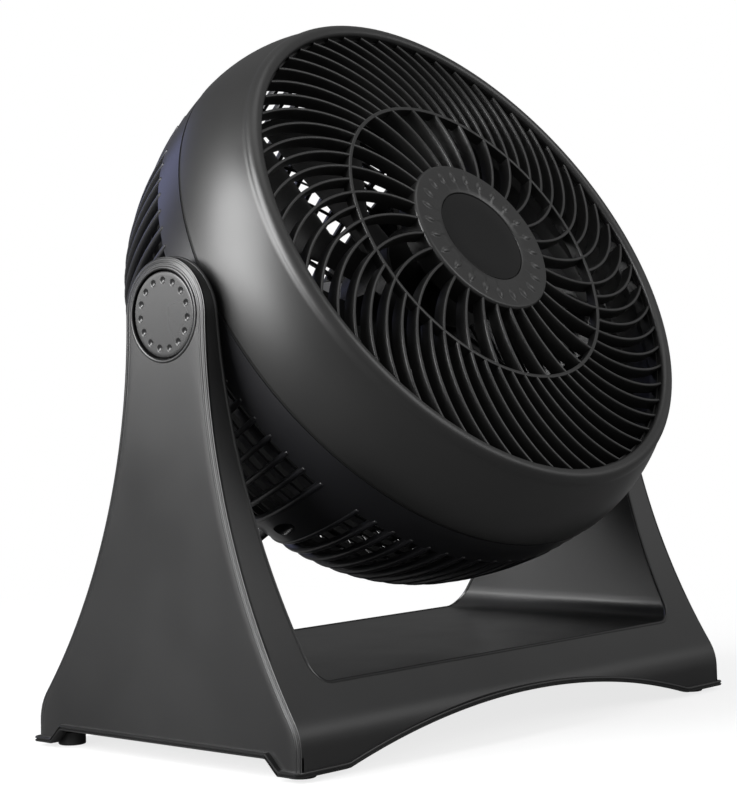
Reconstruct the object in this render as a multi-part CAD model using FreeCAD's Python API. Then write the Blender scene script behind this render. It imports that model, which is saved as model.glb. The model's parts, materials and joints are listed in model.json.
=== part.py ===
"""Tabletop turbo fan: a tilting fan head carried between the legs of a one-piece yoke base.

Millimetres. X runs to the right as seen from the front, the front faces -Y, Z is up.
The origin is on the table, under the line of the pivots.
The head is drawn upright about its own axis, which is +Z there with the pivot at its origin,
and is then tilted back and set on the pivot.
"""
import FreeCAD
import Part
import math
import os

V = FreeCAD.Vector

# Base yoke
BASE_WIDTH = 370.0
BASE_DEPTH = 200.0
FLANGE_PROUD = 1.6
FLANGE_HEIGHT = 3.0
LEG_FOOT_HALF = 181.8
LEG_TOP_HALF = 177.2
LEG_INNER_TOP = 167.0
LEG_INNER_DECK = 153.6
LEG_TOP_RADIUS = 29.5
DECK_HEIGHT = 41.5
DECK_CORNER = 22.0
FLARE_KNEE = 20.0
KNEE_RADIUS = 26.0
BASE_WALL = 3.0
LEG_SOLID_ABOVE = 190.0
CORNER_FLAT = 37.5
ARCH_RISE = 20.5
SIDE_RISE = 7.8
SIDE_FLAT = 14.5
SIDE_SLANT = 8.0

# Feet
FOOT_DROP = 2.4
FOOT_RADIUS = 7.5
FOOT_SEAT = 5.0
FOOT_X = 168.5
FOOT_Y = 86.5
FOOT_BOSS_RADIUS = 7.0
FOOT_SCREW_HEAD = 3.4
FOOT_SCREW_SHANK = 1.6
FOOT_SCREW_LENGTH = 12.0
FOOT_RECESS = 4.6

# Pivot
PIVOT_FORWARD = 5.0
PIVOT_HEIGHT = 227.5
REST_TILT = 31.3
CAP_RADIUS = 22.3
CAP_GAP = 0.8
CAP_RECESS = 7.0
CAP_SUNK = 0.5
CAP_SKIN = 2.2
CAP_RIM = 3.0
CAP_DIMPLES = 15
DIMPLE_CIRCLE = 17.6
DIMPLE_RADIUS = 1.9
DIMPLE_DEPTH = 0.9
PAD_RADIUS = 15.0
PAD_PROUD = 1.4
WASHER_THICK = 1.5
HEAD_BOSS_RADIUS = 13.0
HEAD_BOSS_ROOT = 148.0
BOLT_RADIUS = 3.0
BOLT_HEAD_RADIUS = 5.2
BOLT_HEAD_HEIGHT = 2.8
BOLT_LENGTH = 22.0
SPRING_WASHER_THICK = 0.8
RUNNING_FIT = 0.05
SEAT_GAP = 0.1

# Head shell
SEAM_AT = 22.2
SEAM_RADIUS = 163.3
SEAM_STEP = 0.3
SHELL_WALL = 2.5
BAND_LEAN = 2.4
BAND_CURVE = 205.0
SHOULDER_LEAN = 24.0
SHOULDER_CURVE = 80.0
SLOT_FRONT = 0.0
SLOT_REAR_LEAN = 80.0
RIB_PITCHES = 84
PANELS = 4
PANEL_PITCHES = 2
PIVOT_PANEL_PITCHES = 5
REAR_BAR_ANGLE = 1.1
SLOT_DEPTH_EXTRA = 0.8
HOOP_FIRST = 6.0
HOOP_PITCH = 11.5
HOOP_THICK = 2.0
HOOP_DEPTH = 4.0

# Front cowl
COWL_MID_AT = 46.0
COWL_MID_RADIUS = 160.6
COWL_FRONT_AT = 66.0
COWL_FRONT_RADIUS = 152.2
LIP_CREST_AT = 72.0
LIP_CREST_RADIUS = 147.0
MOUTH_RADIUS = 143.6
LIP_INNER_AT = 69.0
LIP_BACK_AT = 66.5
SPIGOT_LENGTH = 7.0
SPIGOT_WALL = 2.2
SPIGOT_GAP = 0.3

# Screw posts joining the two head shells
POST_CIRCLE = 146.0
POST_RADIUS = 6.0
POST_FLOOR = 5.0
POST_BORE = 4.2
POST_END = 15.0
COWL_POST_RADIUS = 5.0
COWL_POST_LENGTH = 25.0
POST_WEB = 3.0
SHELL_SCREW_SHANK = 1.95
SHELL_SCREW_HEAD = 3.6
SHELL_SCREW_HEAD_HEIGHT = 2.8
SHELL_SCREW_LENGTH = 20.0

# Front grille
GRILLE_DOME = 1085.0
GRILLE_APEX = 78.75
GRILLE_RIBS = 60
RIB_THICK = 2.0
RIB_DEPTH = 8.0
RIB_SWEEP = 82.6
RIB_PHASE = 1.6
SEAT_RING_WIDTH = 5.2
SEAT_RING_DEPTH = 6.5
SEAT_RING_LAP = 0.6
INNER_RING_RADIUS = 89.0
INNER_RING_WIDTH = 2.2
INNER_RING_DEPTH = 6.0
HUB_RADIUS = 47.6
HUB_FRONT = 78.6
HUB_DEPTH = 14.0
HUB_WALL = 2.4
HUB_EDGE = 1.5
HUB_BUMPS = 24
BUMP_CIRCLE = 39.2
BUMP_RADIUS = 2.7
BUMP_HEIGHT = 1.0
DISC_RADIUS = 28.5
DISC_THICK = 1.2
DISC_SUNK = 0.4
DISC_GAP = 0.3

# Motor
MOTOR_RADIUS = 42.0
MOTOR_BACK = 95.0
REAR_BRACKET_LENGTH = 23.0
CORE_LENGTH = 24.0
FRONT_BRACKET_LENGTH = 18.0
BRACKET_WALL = 2.5
ROTOR_RADIUS = 22.5
AIR_GAP = 0.5
SHAFT_RADIUS = 4.0
BUSH_RADIUS = 9.0
BUSH_LENGTH = 8.0
BUSH_SEAT = 2.0
COIL_INNER = 26.0
COIL_OUTER = 38.0
COIL_LENGTH = 9.0
MOTOR_SCREW_CIRCLE = 30.0
MOTOR_SCREW_RADIUS = 2.0
MOTOR_SCREW_HEAD = 3.8
MOTOR_SCREW_HEAD_HEIGHT = 2.4
MOTOR_SCREW_LENGTH = 7.0
MOTOR_BOSS_RADIUS = 7.0

# Fan
FAN_RADIUS = 134.0
FAN_BLADES = 8
FAN_HUB_RADIUS = 34.0
FAN_HUB_BACK = -6.0
FAN_HUB_LENGTH = 44.0
FAN_HUB_WALL = 3.0
FAN_BOSS_RADIUS = 9.0
BLADE_THICK = 2.4
BLADE_FIRST = 5.5
BLADE_ROOT_FRONT = 8.0
BLADE_ROOT_BACK = 10.0
BLADE_ROOT_PITCH = 48.0
BLADE_NECK_RADIUS = 58.0
BLADE_NECK_FRONT = 3.0
BLADE_NECK_BACK = 13.0
BLADE_NECK_PITCH = 41.0
BLADE_TIP_FRONT = 38.0
BLADE_TIP_BACK = 34.0
BLADE_TIP_PITCH = 24.0
BLADE_CAMBER = 0.09
NUT_RADIUS = 11.0
NUT_LENGTH = 12.0

# Rear controls
COVER_RADIUS = 58.0
COVER_DEPTH = 19.0
COVER_WALL = 2.2
COVER_EDGE = 4.0
COVER_SCREW_CIRCLE = 50.0
COVER_POST_RADIUS = 4.5
COVER_SCREW_RADIUS = 1.6
COVER_SCREW_HEAD = 3.0
COVER_SCREW_HEAD_HEIGHT = 2.0
COVER_SCREW_LENGTH = 8.0
SWITCH_SIZE = 26.0
SWITCH_DEPTH = 13.0
SPINDLE_RADIUS = 3.0
SPINDLE_LENGTH = 20.0
KNOB_RADIUS = 17.0
KNOB_HEIGHT = 15.0
KNOB_GAP = 0.5
KNOB_SKIRT = 3.0
KNOB_GRIP = 7.0
CAPACITOR_WIDTH = 36.0
CAPACITOR_HEIGHT = 16.0
CAPACITOR_DEPTH = 12.0
CAPACITOR_UP = 34.0

# Cord gland
GLAND_RADIUS = 3.2
GLAND_BORE = 2.2
GLAND_CIRCLE = 121.0
GLAND_END = 96.0
GLAND_TURN = 1.8

# Values worked out from the sizes above
SKIRT_HALF = BASE_DEPTH / 2 - FLANGE_PROUD
PIVOT = V(0, -PIVOT_FORWARD, PIVOT_HEIGHT + FOOT_DROP)
PITCH = 360.0 / RIB_PITCHES
PANEL_STEP = 360.0 / PANELS
PANEL_FIRST = -PANEL_STEP * 1.5
PAD_FACE = LEG_INNER_TOP - PAD_PROUD
WASHER_BACK = PAD_FACE - SEAT_GAP - WASHER_THICK
HEAD_BOSS_FACE = WASHER_BACK - SEAT_GAP
RECESS_FLOOR = LEG_TOP_HALF - CAP_RECESS
CORE_BACK = -MOTOR_BACK + REAR_BRACKET_LENGTH
CORE_FRONT = CORE_BACK + CORE_LENGTH
MOTOR_FRONT = CORE_FRONT + FRONT_BRACKET_LENGTH


def rad(degrees):
    """Degrees to radians."""
    return math.radians(degrees)


SHOULDER_AT = SEAM_AT - BAND_CURVE * (math.sin(rad(SHOULDER_LEAN)) - math.sin(rad(BAND_LEAN)))
SHOULDER_RADIUS = SEAM_RADIUS - BAND_CURVE * (math.cos(rad(BAND_LEAN)) - math.cos(rad(SHOULDER_LEAN)))
BACK_AT = SHOULDER_AT - SHOULDER_CURVE * (1 - math.sin(rad(SHOULDER_LEAN)))
BACK_RADIUS = SHOULDER_RADIUS - SHOULDER_CURVE * math.cos(rad(SHOULDER_LEAN))


def shell_point(lean, inset=0.0):
    """A point of the rear shell's side curve where it leans in by an angle, as radius and place on the axis.

    Two arcs that join smoothly at the shoulder make the curve; inset moves the point inwards.
    """
    if lean <= SHOULDER_LEAN:
        curve, lean0, at0, radius0 = BAND_CURVE, BAND_LEAN, SEAM_AT, SEAM_RADIUS
    else:
        curve, lean0, at0, radius0 = SHOULDER_CURVE, SHOULDER_LEAN, SHOULDER_AT, SHOULDER_RADIUS
    at = at0 - curve * (math.sin(rad(lean)) - math.sin(rad(lean0)))
    radius = radius0 - curve * (math.cos(rad(lean0)) - math.cos(rad(lean)))
    return radius - inset * math.cos(rad(lean)), at + inset * math.sin(rad(lean))


def shell_lean(at):
    """The lean of the rear shell's curve at a place on the axis."""
    if at >= SHOULDER_AT:
        return math.degrees(math.asin(math.sin(rad(BAND_LEAN)) + (SEAM_AT - at) / BAND_CURVE))
    return math.degrees(math.asin(math.sin(rad(SHOULDER_LEAN)) + (SHOULDER_AT - at) / SHOULDER_CURVE))


def rz(point):
    """A radius and a place on the axis as a point of the half plane that is revolved."""
    return V(point[0], 0, point[1])


def line(first, last):
    """A straight edge between two points."""
    return Part.makeLine(first, last)


def arc(first, middle, last):
    """A round edge through three points."""
    return Part.Arc(first, middle, last).toShape()


def shell_edges(lean_from, lean_to, inset):
    """The edges of the rear shell's curve between two leans, as one or two arcs."""
    stops = [lean_from, lean_to]
    low, high = min(stops), max(stops)
    if low < SHOULDER_LEAN < high:
        stops = [lean_from, SHOULDER_LEAN, lean_to]
    edges = []
    for start, end in zip(stops[:-1], stops[1:]):
        first = min(start, end) >= SHOULDER_LEAN
        curve, lean0, at0, radius0 = (
            (SHOULDER_CURVE, SHOULDER_LEAN, SHOULDER_AT, SHOULDER_RADIUS)
            if first
            else (BAND_CURVE, BAND_LEAN, SEAM_AT, SEAM_RADIUS)
        )
        points = []
        for lean in (start, (start + end) / 2, end):
            at = at0 - curve * (math.sin(rad(lean)) - math.sin(rad(lean0)))
            radius = radius0 - curve * (math.cos(rad(lean0)) - math.cos(rad(lean)))
            points.append(rz((radius - inset * math.cos(rad(lean)), at + inset * math.sin(rad(lean)))))
        edges.append(arc(*points))
    return edges


def turned(edges, angle=360.0):
    """A solid turned about the head's axis from a closed outline in the half plane."""
    face = Part.Face(Part.Wire(edges))
    return face.revolve(V(0, 0, 0), V(0, 0, 1), angle)


def closed(points):
    """Straight edges that close a polygon."""
    return [line(a, b) for a, b in zip(points, points[1:] + points[:1])]


def turned_polygon(pairs, angle=360.0):
    """A turned solid whose outline is a polygon of radius and axis place."""
    return turned(closed([rz(p) for p in pairs]), angle)


def tube(outer, inner, start, end):
    """A plain ring on the head's axis."""
    return turned_polygon([(inner, start), (outer, start), (outer, end), (inner, end)])


def rod(radius, start, end, x=0.0, y=0.0):
    """A round bar along the axis direction."""
    return Part.makeCylinder(radius, end - start, V(x, y, start))


def rod_x(radius, start, end):
    """A round bar along X through the pivot."""
    return Part.makeCylinder(radius, end - start, V(start, 0, 0), V(1, 0, 0))


def about_axis(shape, angle):
    """A copy turned about the head's axis."""
    copy = shape.copy()
    copy.rotate(V(0, 0, 0), V(0, 0, 1), angle)
    return copy


def ring_of(shape, count, first=0.0):
    """Copies spread evenly about the head's axis."""
    return [about_axis(shape, first + 360.0 * k / count) for k in range(count)]


def at_head(shape):
    """A head piece tilted back to its resting place on the pivot."""
    copy = shape.copy()
    copy.rotate(V(0, 0, 0), V(1, 0, 0), 90.0 - REST_TILT)
    copy.translate(PIVOT)
    return copy


def at_pivot(shape):
    """A piece drawn about the pivot line and moved up to it."""
    copy = shape.copy()
    copy.translate(PIVOT)
    return copy


def to_left(shape):
    """The mirror image on the left side."""
    return shape.mirror(V(0, 0, 0), V(1, 0, 0))


def cut_many(shape, tools):
    """A shape less a set of tools."""
    return shape.cut(Part.makeCompound(tools))


def save(name, shape):
    """Write one piece, or a group of like pieces, to its own file.

    Pieces are drawn about the middle of the base and stored about the line of the pivots.
    """
    stored = shape.copy()
    stored.translate(V(0, PIVOT_FORWARD, 0))
    stored.exportStep("parts/" + name + ".step")


def side_outline(inset):
    """The bell-shaped side view of the base as a closed wire in the YZ plane.

    From the round leg top each side flares out on one large arc, rounds over at the knee and drops
    straight down. The outline runs below the table so that the base stays open underneath.
    """
    low = -10.0
    top = PIVOT_HEIGHT
    edges = []
    ends = []
    for side in (-1, 1):
        skirt = side * (SKIRT_HALF - inset)
        neck = -PIVOT_FORWARD + side * (LEG_TOP_RADIUS - inset)
        reach = abs(SKIRT_HALF - abs(-PIVOT_FORWARD + side * LEG_TOP_RADIUS))
        drop = top - FLARE_KNEE
        flare = (drop * drop + reach * reach) / (2 * reach) + inset
        centre = neck + side * flare
        knee = KNEE_RADIUS - inset
        knee_y = skirt - side * knee
        height = math.sqrt((flare + knee) ** 2 - (centre - knee_y) ** 2)
        knee_z = top - height
        unit_y = (centre - knee_y) / (flare + knee)
        unit_z = height / (flare + knee)
        touch = V(0, knee_y + knee * unit_y, knee_z + knee * unit_z)
        turn = math.atan2(unit_z, side * unit_y) / 2
        middle_knee = V(0, knee_y + side * knee * math.cos(turn), knee_z + knee * math.sin(turn))
        sweep = math.asin((top - touch.z) / flare) / 2
        middle_flare = V(0, centre - side * flare * math.cos(sweep), top - flare * math.sin(sweep))
        edges.append(arc(V(0, neck, top), middle_flare, touch))
        edges.append(arc(touch, middle_knee, V(0, skirt, knee_z)))
        edges.append(line(V(0, skirt, knee_z), V(0, skirt, low)))
        ends.append(V(0, skirt, low))
    left = V(0, -PIVOT_FORWARD - LEG_TOP_RADIUS + inset, top)
    right = V(0, -PIVOT_FORWARD + LEG_TOP_RADIUS - inset, top)
    crown = V(0, -PIVOT_FORWARD, top + LEG_TOP_RADIUS - inset)
    edges.append(arc(left, crown, right))
    edges.append(line(ends[0], ends[1]))
    return Part.Wire(Part.__sortEdges__(edges))


def leg_outer(z):
    """Half width of the base at a height: the legs lean in a little."""
    return LEG_FOOT_HALF + (LEG_TOP_HALF - LEG_FOOT_HALF) * z / PIVOT_HEIGHT


def leg_inner(z):
    """Distance of a leg's inner face from the middle at a height."""
    slope = (LEG_INNER_TOP - LEG_INNER_DECK) / (PIVOT_HEIGHT - DECK_HEIGHT)
    return LEG_INNER_DECK + slope * (z - DECK_HEIGHT)


def front_outline(inset, top):
    """The U-shaped front view of the base as a closed wire in the XZ plane."""
    low = -10.0
    deck = DECK_HEIGHT - inset
    corner = DECK_CORNER + inset
    inner = leg_inner(deck) + inset
    lean = math.atan2(leg_inner(top) - leg_inner(deck), top - deck)
    run = corner * math.tan((math.pi / 2 - lean) / 2)
    centre = V(inner - run, 0, deck + corner)
    on_leg = V(inner + run * math.sin(lean), 0, deck + run * math.cos(lean))
    half = (math.pi / 2 - lean) / 2
    middle = centre + V(corner * math.sin(half), 0, -corner * math.cos(half))
    right = [
        line(V(0, 0, deck), V(inner - run, 0, deck)),
        arc(V(inner - run, 0, deck), middle, on_leg),
        line(on_leg, V(leg_inner(top) + inset, 0, top)),
        line(V(leg_inner(top) + inset, 0, top), V(leg_outer(top) - inset, 0, top)),
        line(V(leg_outer(top) - inset, 0, top), V(leg_outer(low) - inset, 0, low)),
        line(V(leg_outer(low) - inset, 0, low), V(0, 0, low)),
    ]
    left = [edge.mirror(V(0, 0, 0), V(1, 0, 0)) for edge in right]
    return Part.Wire(Part.__sortEdges__(right + left))


def yoke_form(inset, top):
    """The base's outer form, or its hollow, as the meeting of its side view and its front view."""
    side = Part.Face(side_outline(inset))
    side.translate(V(-BASE_WIDTH, 0, 0))
    front = Part.Face(front_outline(inset, top))
    front.translate(V(0, -BASE_DEPTH, 0))
    return side.extrude(V(2 * BASE_WIDTH, 0, 0)).common(front.extrude(V(0, 2 * BASE_DEPTH, 0)))


def arch_edges(height):
    """The arched lower edge of the front skirt from the left corner to the right corner."""
    half = BASE_WIDTH / 2
    foot = half - CORNER_FLAT
    return [
        line(V(-half, 0, height), V(-foot, 0, height)),
        arc(V(-foot, 0, height), V(0, 0, height + ARCH_RISE), V(foot, 0, height)),
        line(V(foot, 0, height), V(half, 0, height)),
    ]


def side_edge_points(height):
    """The stepped lower edge of a leg's side, from front to back."""
    half = BASE_DEPTH / 2
    flat = half - SIDE_FLAT
    up = flat - SIDE_SLANT
    return [
        V(0, -half, height),
        V(0, -flat, height),
        V(0, -up, height + SIDE_RISE),
        V(0, up, height + SIDE_RISE),
        V(0, flat, height),
        V(0, half, height),
    ]


def base_flange():
    """The bead that runs along every lower edge of the base."""
    half_x = BASE_WIDTH / 2
    half_y = BASE_DEPTH / 2
    width = FLANGE_PROUD + BASE_WALL
    front = arch_edges(0.0) + arch_edges(FLANGE_HEIGHT)
    front.append(line(V(-half_x, 0, 0), V(-half_x, 0, FLANGE_HEIGHT)))
    front.append(line(V(half_x, 0, 0), V(half_x, 0, FLANGE_HEIGHT)))
    front = Part.Face(Part.Wire(Part.__sortEdges__(front)))
    front.translate(V(0, -half_y, 0))
    front = front.extrude(V(0, width, 0))
    lower = side_edge_points(0.0)
    upper = side_edge_points(FLANGE_HEIGHT)
    side = Part.Face(Part.Wire(closed(lower + upper[::-1])))
    side.translate(V(half_x - width - FLANGE_PROUD, 0, 0))
    side = side.extrude(V(width + FLANGE_PROUD, 0, 0))
    back = front.mirror(V(0, 0, 0), V(0, 1, 0))
    return front.fuse([back, side, to_left(side)])


def below_base():
    """The space under the arched and stepped lower edges, which is cut away from the base."""
    half_x = BASE_WIDTH / 2
    low = -20.0
    arch = arch_edges(0.0)
    arch.append(line(V(half_x, 0, 0), V(half_x, 0, low)))
    arch.append(line(V(half_x, 0, low), V(-half_x, 0, low)))
    arch.append(line(V(-half_x, 0, low), V(-half_x, 0, 0)))
    arch = Part.Face(Part.Wire(Part.__sortEdges__(arch)))
    arch.translate(V(0, -BASE_DEPTH, 0))
    points = side_edge_points(0.0) + [V(0, BASE_DEPTH / 2, low), V(0, -BASE_DEPTH / 2, low)]
    side = Part.Face(Part.Wire(closed(points)))
    side.translate(V(-BASE_WIDTH, 0, 0))
    return [arch.extrude(V(0, 2 * BASE_DEPTH, 0)), side.extrude(V(2 * BASE_WIDTH, 0, 0))]


def foot_places():
    """The four corners where a foot is fixed."""
    return [V(x, y, 0) for x in (-FOOT_X, FOOT_X) for y in (-FOOT_Y, FOOT_Y)]


def base_yoke():
    """The one-piece base: hollow legs, deck and skirts, with corner bosses and pivot seats."""
    top = PIVOT_HEIGHT + LEG_TOP_RADIUS + 1.0
    form = yoke_form(0.0, top)
    hollow = yoke_form(BASE_WALL, LEG_SOLID_ABOVE)
    shell = form.cut(hollow)
    shell = cut_many(shell, below_base()).fuse(base_flange())
    bosses = []
    for place in foot_places():
        boss = Part.makeCylinder(FOOT_BOSS_RADIUS, DECK_HEIGHT * 2, place + V(0, 0, FOOT_SEAT))
        bosses.append(boss.common(form))
    shell = shell.fuse(bosses)
    shell.translate(V(0, 0, FOOT_DROP))
    pads = []
    cuts = []
    for place in foot_places():
        pilot = Part.makeCylinder(FOOT_SCREW_SHANK, FOOT_SCREW_LENGTH, place + V(0, 0, FOOT_DROP + FOOT_SEAT))
        cuts.append(pilot)
    pad = at_pivot(rod_x(PAD_RADIUS, PAD_FACE, RECESS_FLOOR))
    recess = at_pivot(rod_x(CAP_RADIUS + CAP_GAP, RECESS_FLOOR, BASE_WIDTH / 2))
    bore = at_pivot(rod_x(BOLT_RADIUS + RUNNING_FIT, PAD_FACE - PAD_PROUD, BASE_WIDTH / 2))
    for tool in (recess, bore):
        cuts.extend([tool, to_left(tool)])
    pads.extend([pad, to_left(pad)])
    return cut_many(shell.fuse(pads), cuts).removeSplitter()


def rubber_feet():
    """Four soft round feet, each with a sunk hole for its screw."""
    feet = []
    height = FOOT_DROP + FOOT_SEAT
    for place in foot_places():
        foot = Part.makeCylinder(FOOT_RADIUS, height, place)
        sink = Part.makeCylinder(FOOT_SCREW_HEAD + CAP_GAP, FOOT_RECESS, place)
        hole = Part.makeCylinder(FOOT_SCREW_SHANK + SEAT_GAP, height, place)
        feet.append(foot.cut(sink.fuse(hole)))
    return Part.makeCompound(feet)


def foot_screws():
    """The screw that holds each foot to its boss."""
    screws = []
    for place in foot_places():
        seat = place + V(0, 0, FOOT_RECESS)
        head = Part.makeCylinder(FOOT_SCREW_HEAD, FOOT_SCREW_SHANK, seat - V(0, 0, FOOT_SCREW_SHANK))
        length = FOOT_DROP + FOOT_SEAT - FOOT_RECESS + FOOT_SCREW_LENGTH - SEAT_GAP
        shank = Part.makeCylinder(FOOT_SCREW_SHANK, length, seat)
        screws.append(head.fuse(shank).removeSplitter())
    return Part.makeCompound(screws)


def pivot_cap():
    """The round cap that closes the pivot recess, with a ring of shallow dimples."""
    face = LEG_TOP_HALF - CAP_SUNK
    cap = rod_x(CAP_RADIUS, RECESS_FLOOR, face)
    cap = cap.cut(rod_x(CAP_RADIUS - CAP_RIM, RECESS_FLOOR, face - CAP_SKIN))
    ball = (DIMPLE_RADIUS**2 + DIMPLE_DEPTH**2) / (2 * DIMPLE_DEPTH)
    dimples = []
    for k in range(CAP_DIMPLES):
        turn = 2 * math.pi * k / CAP_DIMPLES
        centre = V(face + ball - DIMPLE_DEPTH, DIMPLE_CIRCLE * math.sin(turn), DIMPLE_CIRCLE * math.cos(turn))
        dimples.append(Part.makeSphere(ball, centre))
    return at_pivot(cut_many(cap, dimples))


def friction_washer():
    """The washer that the head boss rubs on when the head is tilted."""
    ring = rod_x(HEAD_BOSS_RADIUS, WASHER_BACK, PAD_FACE)
    return at_pivot(ring.cut(rod_x(BOLT_RADIUS + SEAT_GAP, WASHER_BACK, PAD_FACE)))


def spring_washer():
    """The spring washer under the head of the pivot bolt."""
    end = RECESS_FLOOR + SEAT_GAP + SPRING_WASHER_THICK
    ring = rod_x(BOLT_HEAD_RADIUS, RECESS_FLOOR + SEAT_GAP, end)
    return at_pivot(ring.cut(rod_x(BOLT_RADIUS + SEAT_GAP, RECESS_FLOOR, end)))


def pivot_bolt():
    """The bolt on which the head turns, screwed into the head boss."""
    seat = RECESS_FLOOR + SEAT_GAP + SPRING_WASHER_THICK
    head = rod_x(BOLT_HEAD_RADIUS, seat, seat + BOLT_HEAD_HEIGHT)
    return at_pivot(head.fuse(rod_x(BOLT_RADIUS, seat - BOLT_LENGTH, seat)).removeSplitter())


def panel_angles():
    """The directions of the solid panels of the rear shell, which carry the shell screws."""
    return [PANEL_FIRST + PANEL_STEP * k for k in range(PANELS)]


def rear_slots():
    """Cutters for the slots between the lengthwise bars.

    They leave the panels that carry the screws, and a wider panel round each pivot.
    """
    front = shell_lean(SLOT_FRONT)
    depth = SHELL_WALL + SLOT_DEPTH_EXTRA
    outside = -SHELL_WALL
    outline = shell_edges(front, SLOT_REAR_LEAN, outside)
    outline += [line(rz(shell_point(SLOT_REAR_LEAN, outside)), rz(shell_point(SLOT_REAR_LEAN, depth)))]
    outline += shell_edges(SLOT_REAR_LEAN, front, depth)
    outline += [line(rz(shell_point(front, depth)), rz(shell_point(front, outside)))]
    slot = turned(outline, PITCH - REAR_BAR_ANGLE)
    slots = []
    per_gap = RIB_PITCHES // PANELS - PANEL_PITCHES
    beside = (per_gap - PIVOT_PANEL_PITCHES) // 2
    for panel in panel_angles():
        start = panel + PITCH * PANEL_PITCHES / 2 + REAR_BAR_ANGLE / 2
        at_side = abs(math.cos(rad(panel + PANEL_STEP / 2))) > 0.5
        for k in range(per_gap):
            if not (at_side and beside <= k < per_gap - beside):
                slots.append(about_axis(slot, start + PITCH * k))
    return slots


def rear_hoops():
    """The deep hoops behind the bars, square to the shell and evenly spaced along its curve."""
    hoops = []
    lean = shell_lean(SLOT_FRONT)
    step = HOOP_FIRST
    while True:
        curve = BAND_CURVE if lean < SHOULDER_LEAN else SHOULDER_CURVE
        lean += math.degrees(step / curve)
        step = HOOP_PITCH
        if lean > SLOT_REAR_LEAN:
            return hoops
        half = math.degrees(HOOP_THICK / 2 / curve)
        outer = SHELL_WALL / 2
        corners = [
            shell_point(lean - half, outer),
            shell_point(lean + half, outer),
            shell_point(lean + half, SHELL_WALL + HOOP_DEPTH),
            shell_point(lean - half, SHELL_WALL + HOOP_DEPTH),
        ]
        hoops.append(turned_polygon(corners))


def shell_posts():
    """Posts and webs inside the rear shell that take the screws from the back, with their bores."""
    posts = []
    bores = []
    root = shell_lean(SLOT_FRONT)
    for panel in panel_angles():
        start = -60.0
        post = rod(POST_RADIUS, start, POST_END, POST_CIRCLE)
        web_reach = shell_point(root, SHELL_WALL / 2)[0] - POST_CIRCLE
        web = Part.makeBox(web_reach, POST_WEB, POST_END - start, V(POST_CIRCLE, -POST_WEB / 2, start))
        bore = rod(POST_BORE, BACK_AT, POST_END - POST_FLOOR, POST_CIRCLE)
        hole = rod(SHELL_SCREW_SHANK + SEAT_GAP, BACK_AT, POST_END + 1.0, POST_CIRCLE)
        posts.append(about_axis(post.fuse(web), panel))
        bores.append(about_axis(bore.fuse(hole), panel))
    return posts, bores


def shell_inside():
    """The space enclosed by the middle of the rear shell's wall."""
    middle = SHELL_WALL / 2
    front = rz(shell_point(BAND_LEAN, middle))
    outline = shell_edges(BAND_LEAN, 90.0, middle)
    back = rz(shell_point(90.0, middle))
    axis_back = V(0, 0, back.z)
    axis_front = V(0, 0, front.z)
    outline += [line(back, axis_back), line(axis_back, axis_front), line(axis_front, front)]
    return turned(outline)


def motor_screw_rods(radius, start, end):
    """Four rods where the motor is screwed to the back of the shell."""
    return ring_of(rod(radius, start, end, MOTOR_SCREW_CIRCLE), 4, 45.0)


def cover_screw_rods(radius, start, end):
    """Three rods where the control cover is screwed on."""
    return ring_of(rod(radius, start, end, COVER_SCREW_CIRCLE), 3, 30.0)


def gland_direction():
    """The direction of the cord gland: on the lower left panel, beside its screw."""
    return PANEL_FIRST + GLAND_TURN


def rear_housing():
    """The rear shell: smooth band, slotted dome with hoops, flat back and pivot bosses.

    The wall's inner line starts at a slightly larger lean, so that the front edge is flat.
    """
    back_in = BACK_AT + SHELL_WALL
    inside_sine = BAND_CURVE * math.sin(rad(BAND_LEAN)) / (BAND_CURVE - SHELL_WALL)
    inside_lean = math.degrees(math.asin(inside_sine))
    outline = shell_edges(BAND_LEAN, 90.0, 0.0)
    outline += [line(rz((BACK_RADIUS, BACK_AT)), V(0, 0, BACK_AT))]
    outline += [line(V(0, 0, BACK_AT), V(0, 0, back_in))]
    outline += [line(V(0, 0, back_in), rz((BACK_RADIUS, back_in)))]
    outline += shell_edges(90.0, inside_lean, SHELL_WALL)
    outline += [line(rz(shell_point(inside_lean, SHELL_WALL)), rz(shell_point(BAND_LEAN)))]
    shell = turned(outline)
    shell = shell.fuse(rear_hoops())
    shell = cut_many(shell, rear_slots())
    posts, bores = shell_posts()
    inside = shell_inside()
    added = [post.common(inside) for post in posts]
    boss = rod_x(HEAD_BOSS_RADIUS, HEAD_BOSS_ROOT, HEAD_BOSS_FACE)
    added += [boss, to_left(boss)]
    added += motor_screw_rods(MOTOR_BOSS_RADIUS, BACK_AT + SHELL_WALL / 2, -MOTOR_BACK)
    shell = shell.fuse(added)
    bolt = rod_x(BOLT_RADIUS + SEAT_GAP, HEAD_BOSS_ROOT, HEAD_BOSS_FACE)
    cuts = bores + [bolt, to_left(bolt)]
    cuts += motor_screw_rods(MOTOR_SCREW_RADIUS + SEAT_GAP, BACK_AT, -MOTOR_BACK)
    cuts += cover_screw_rods(COVER_SCREW_RADIUS, BACK_AT, BACK_AT + SHELL_WALL)
    gland = rod(GLAND_RADIUS + SEAT_GAP, BACK_AT, SHOULDER_AT, GLAND_CIRCLE)
    cuts.append(about_axis(gland, gland_direction()))
    return cut_many(shell, cuts)


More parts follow.
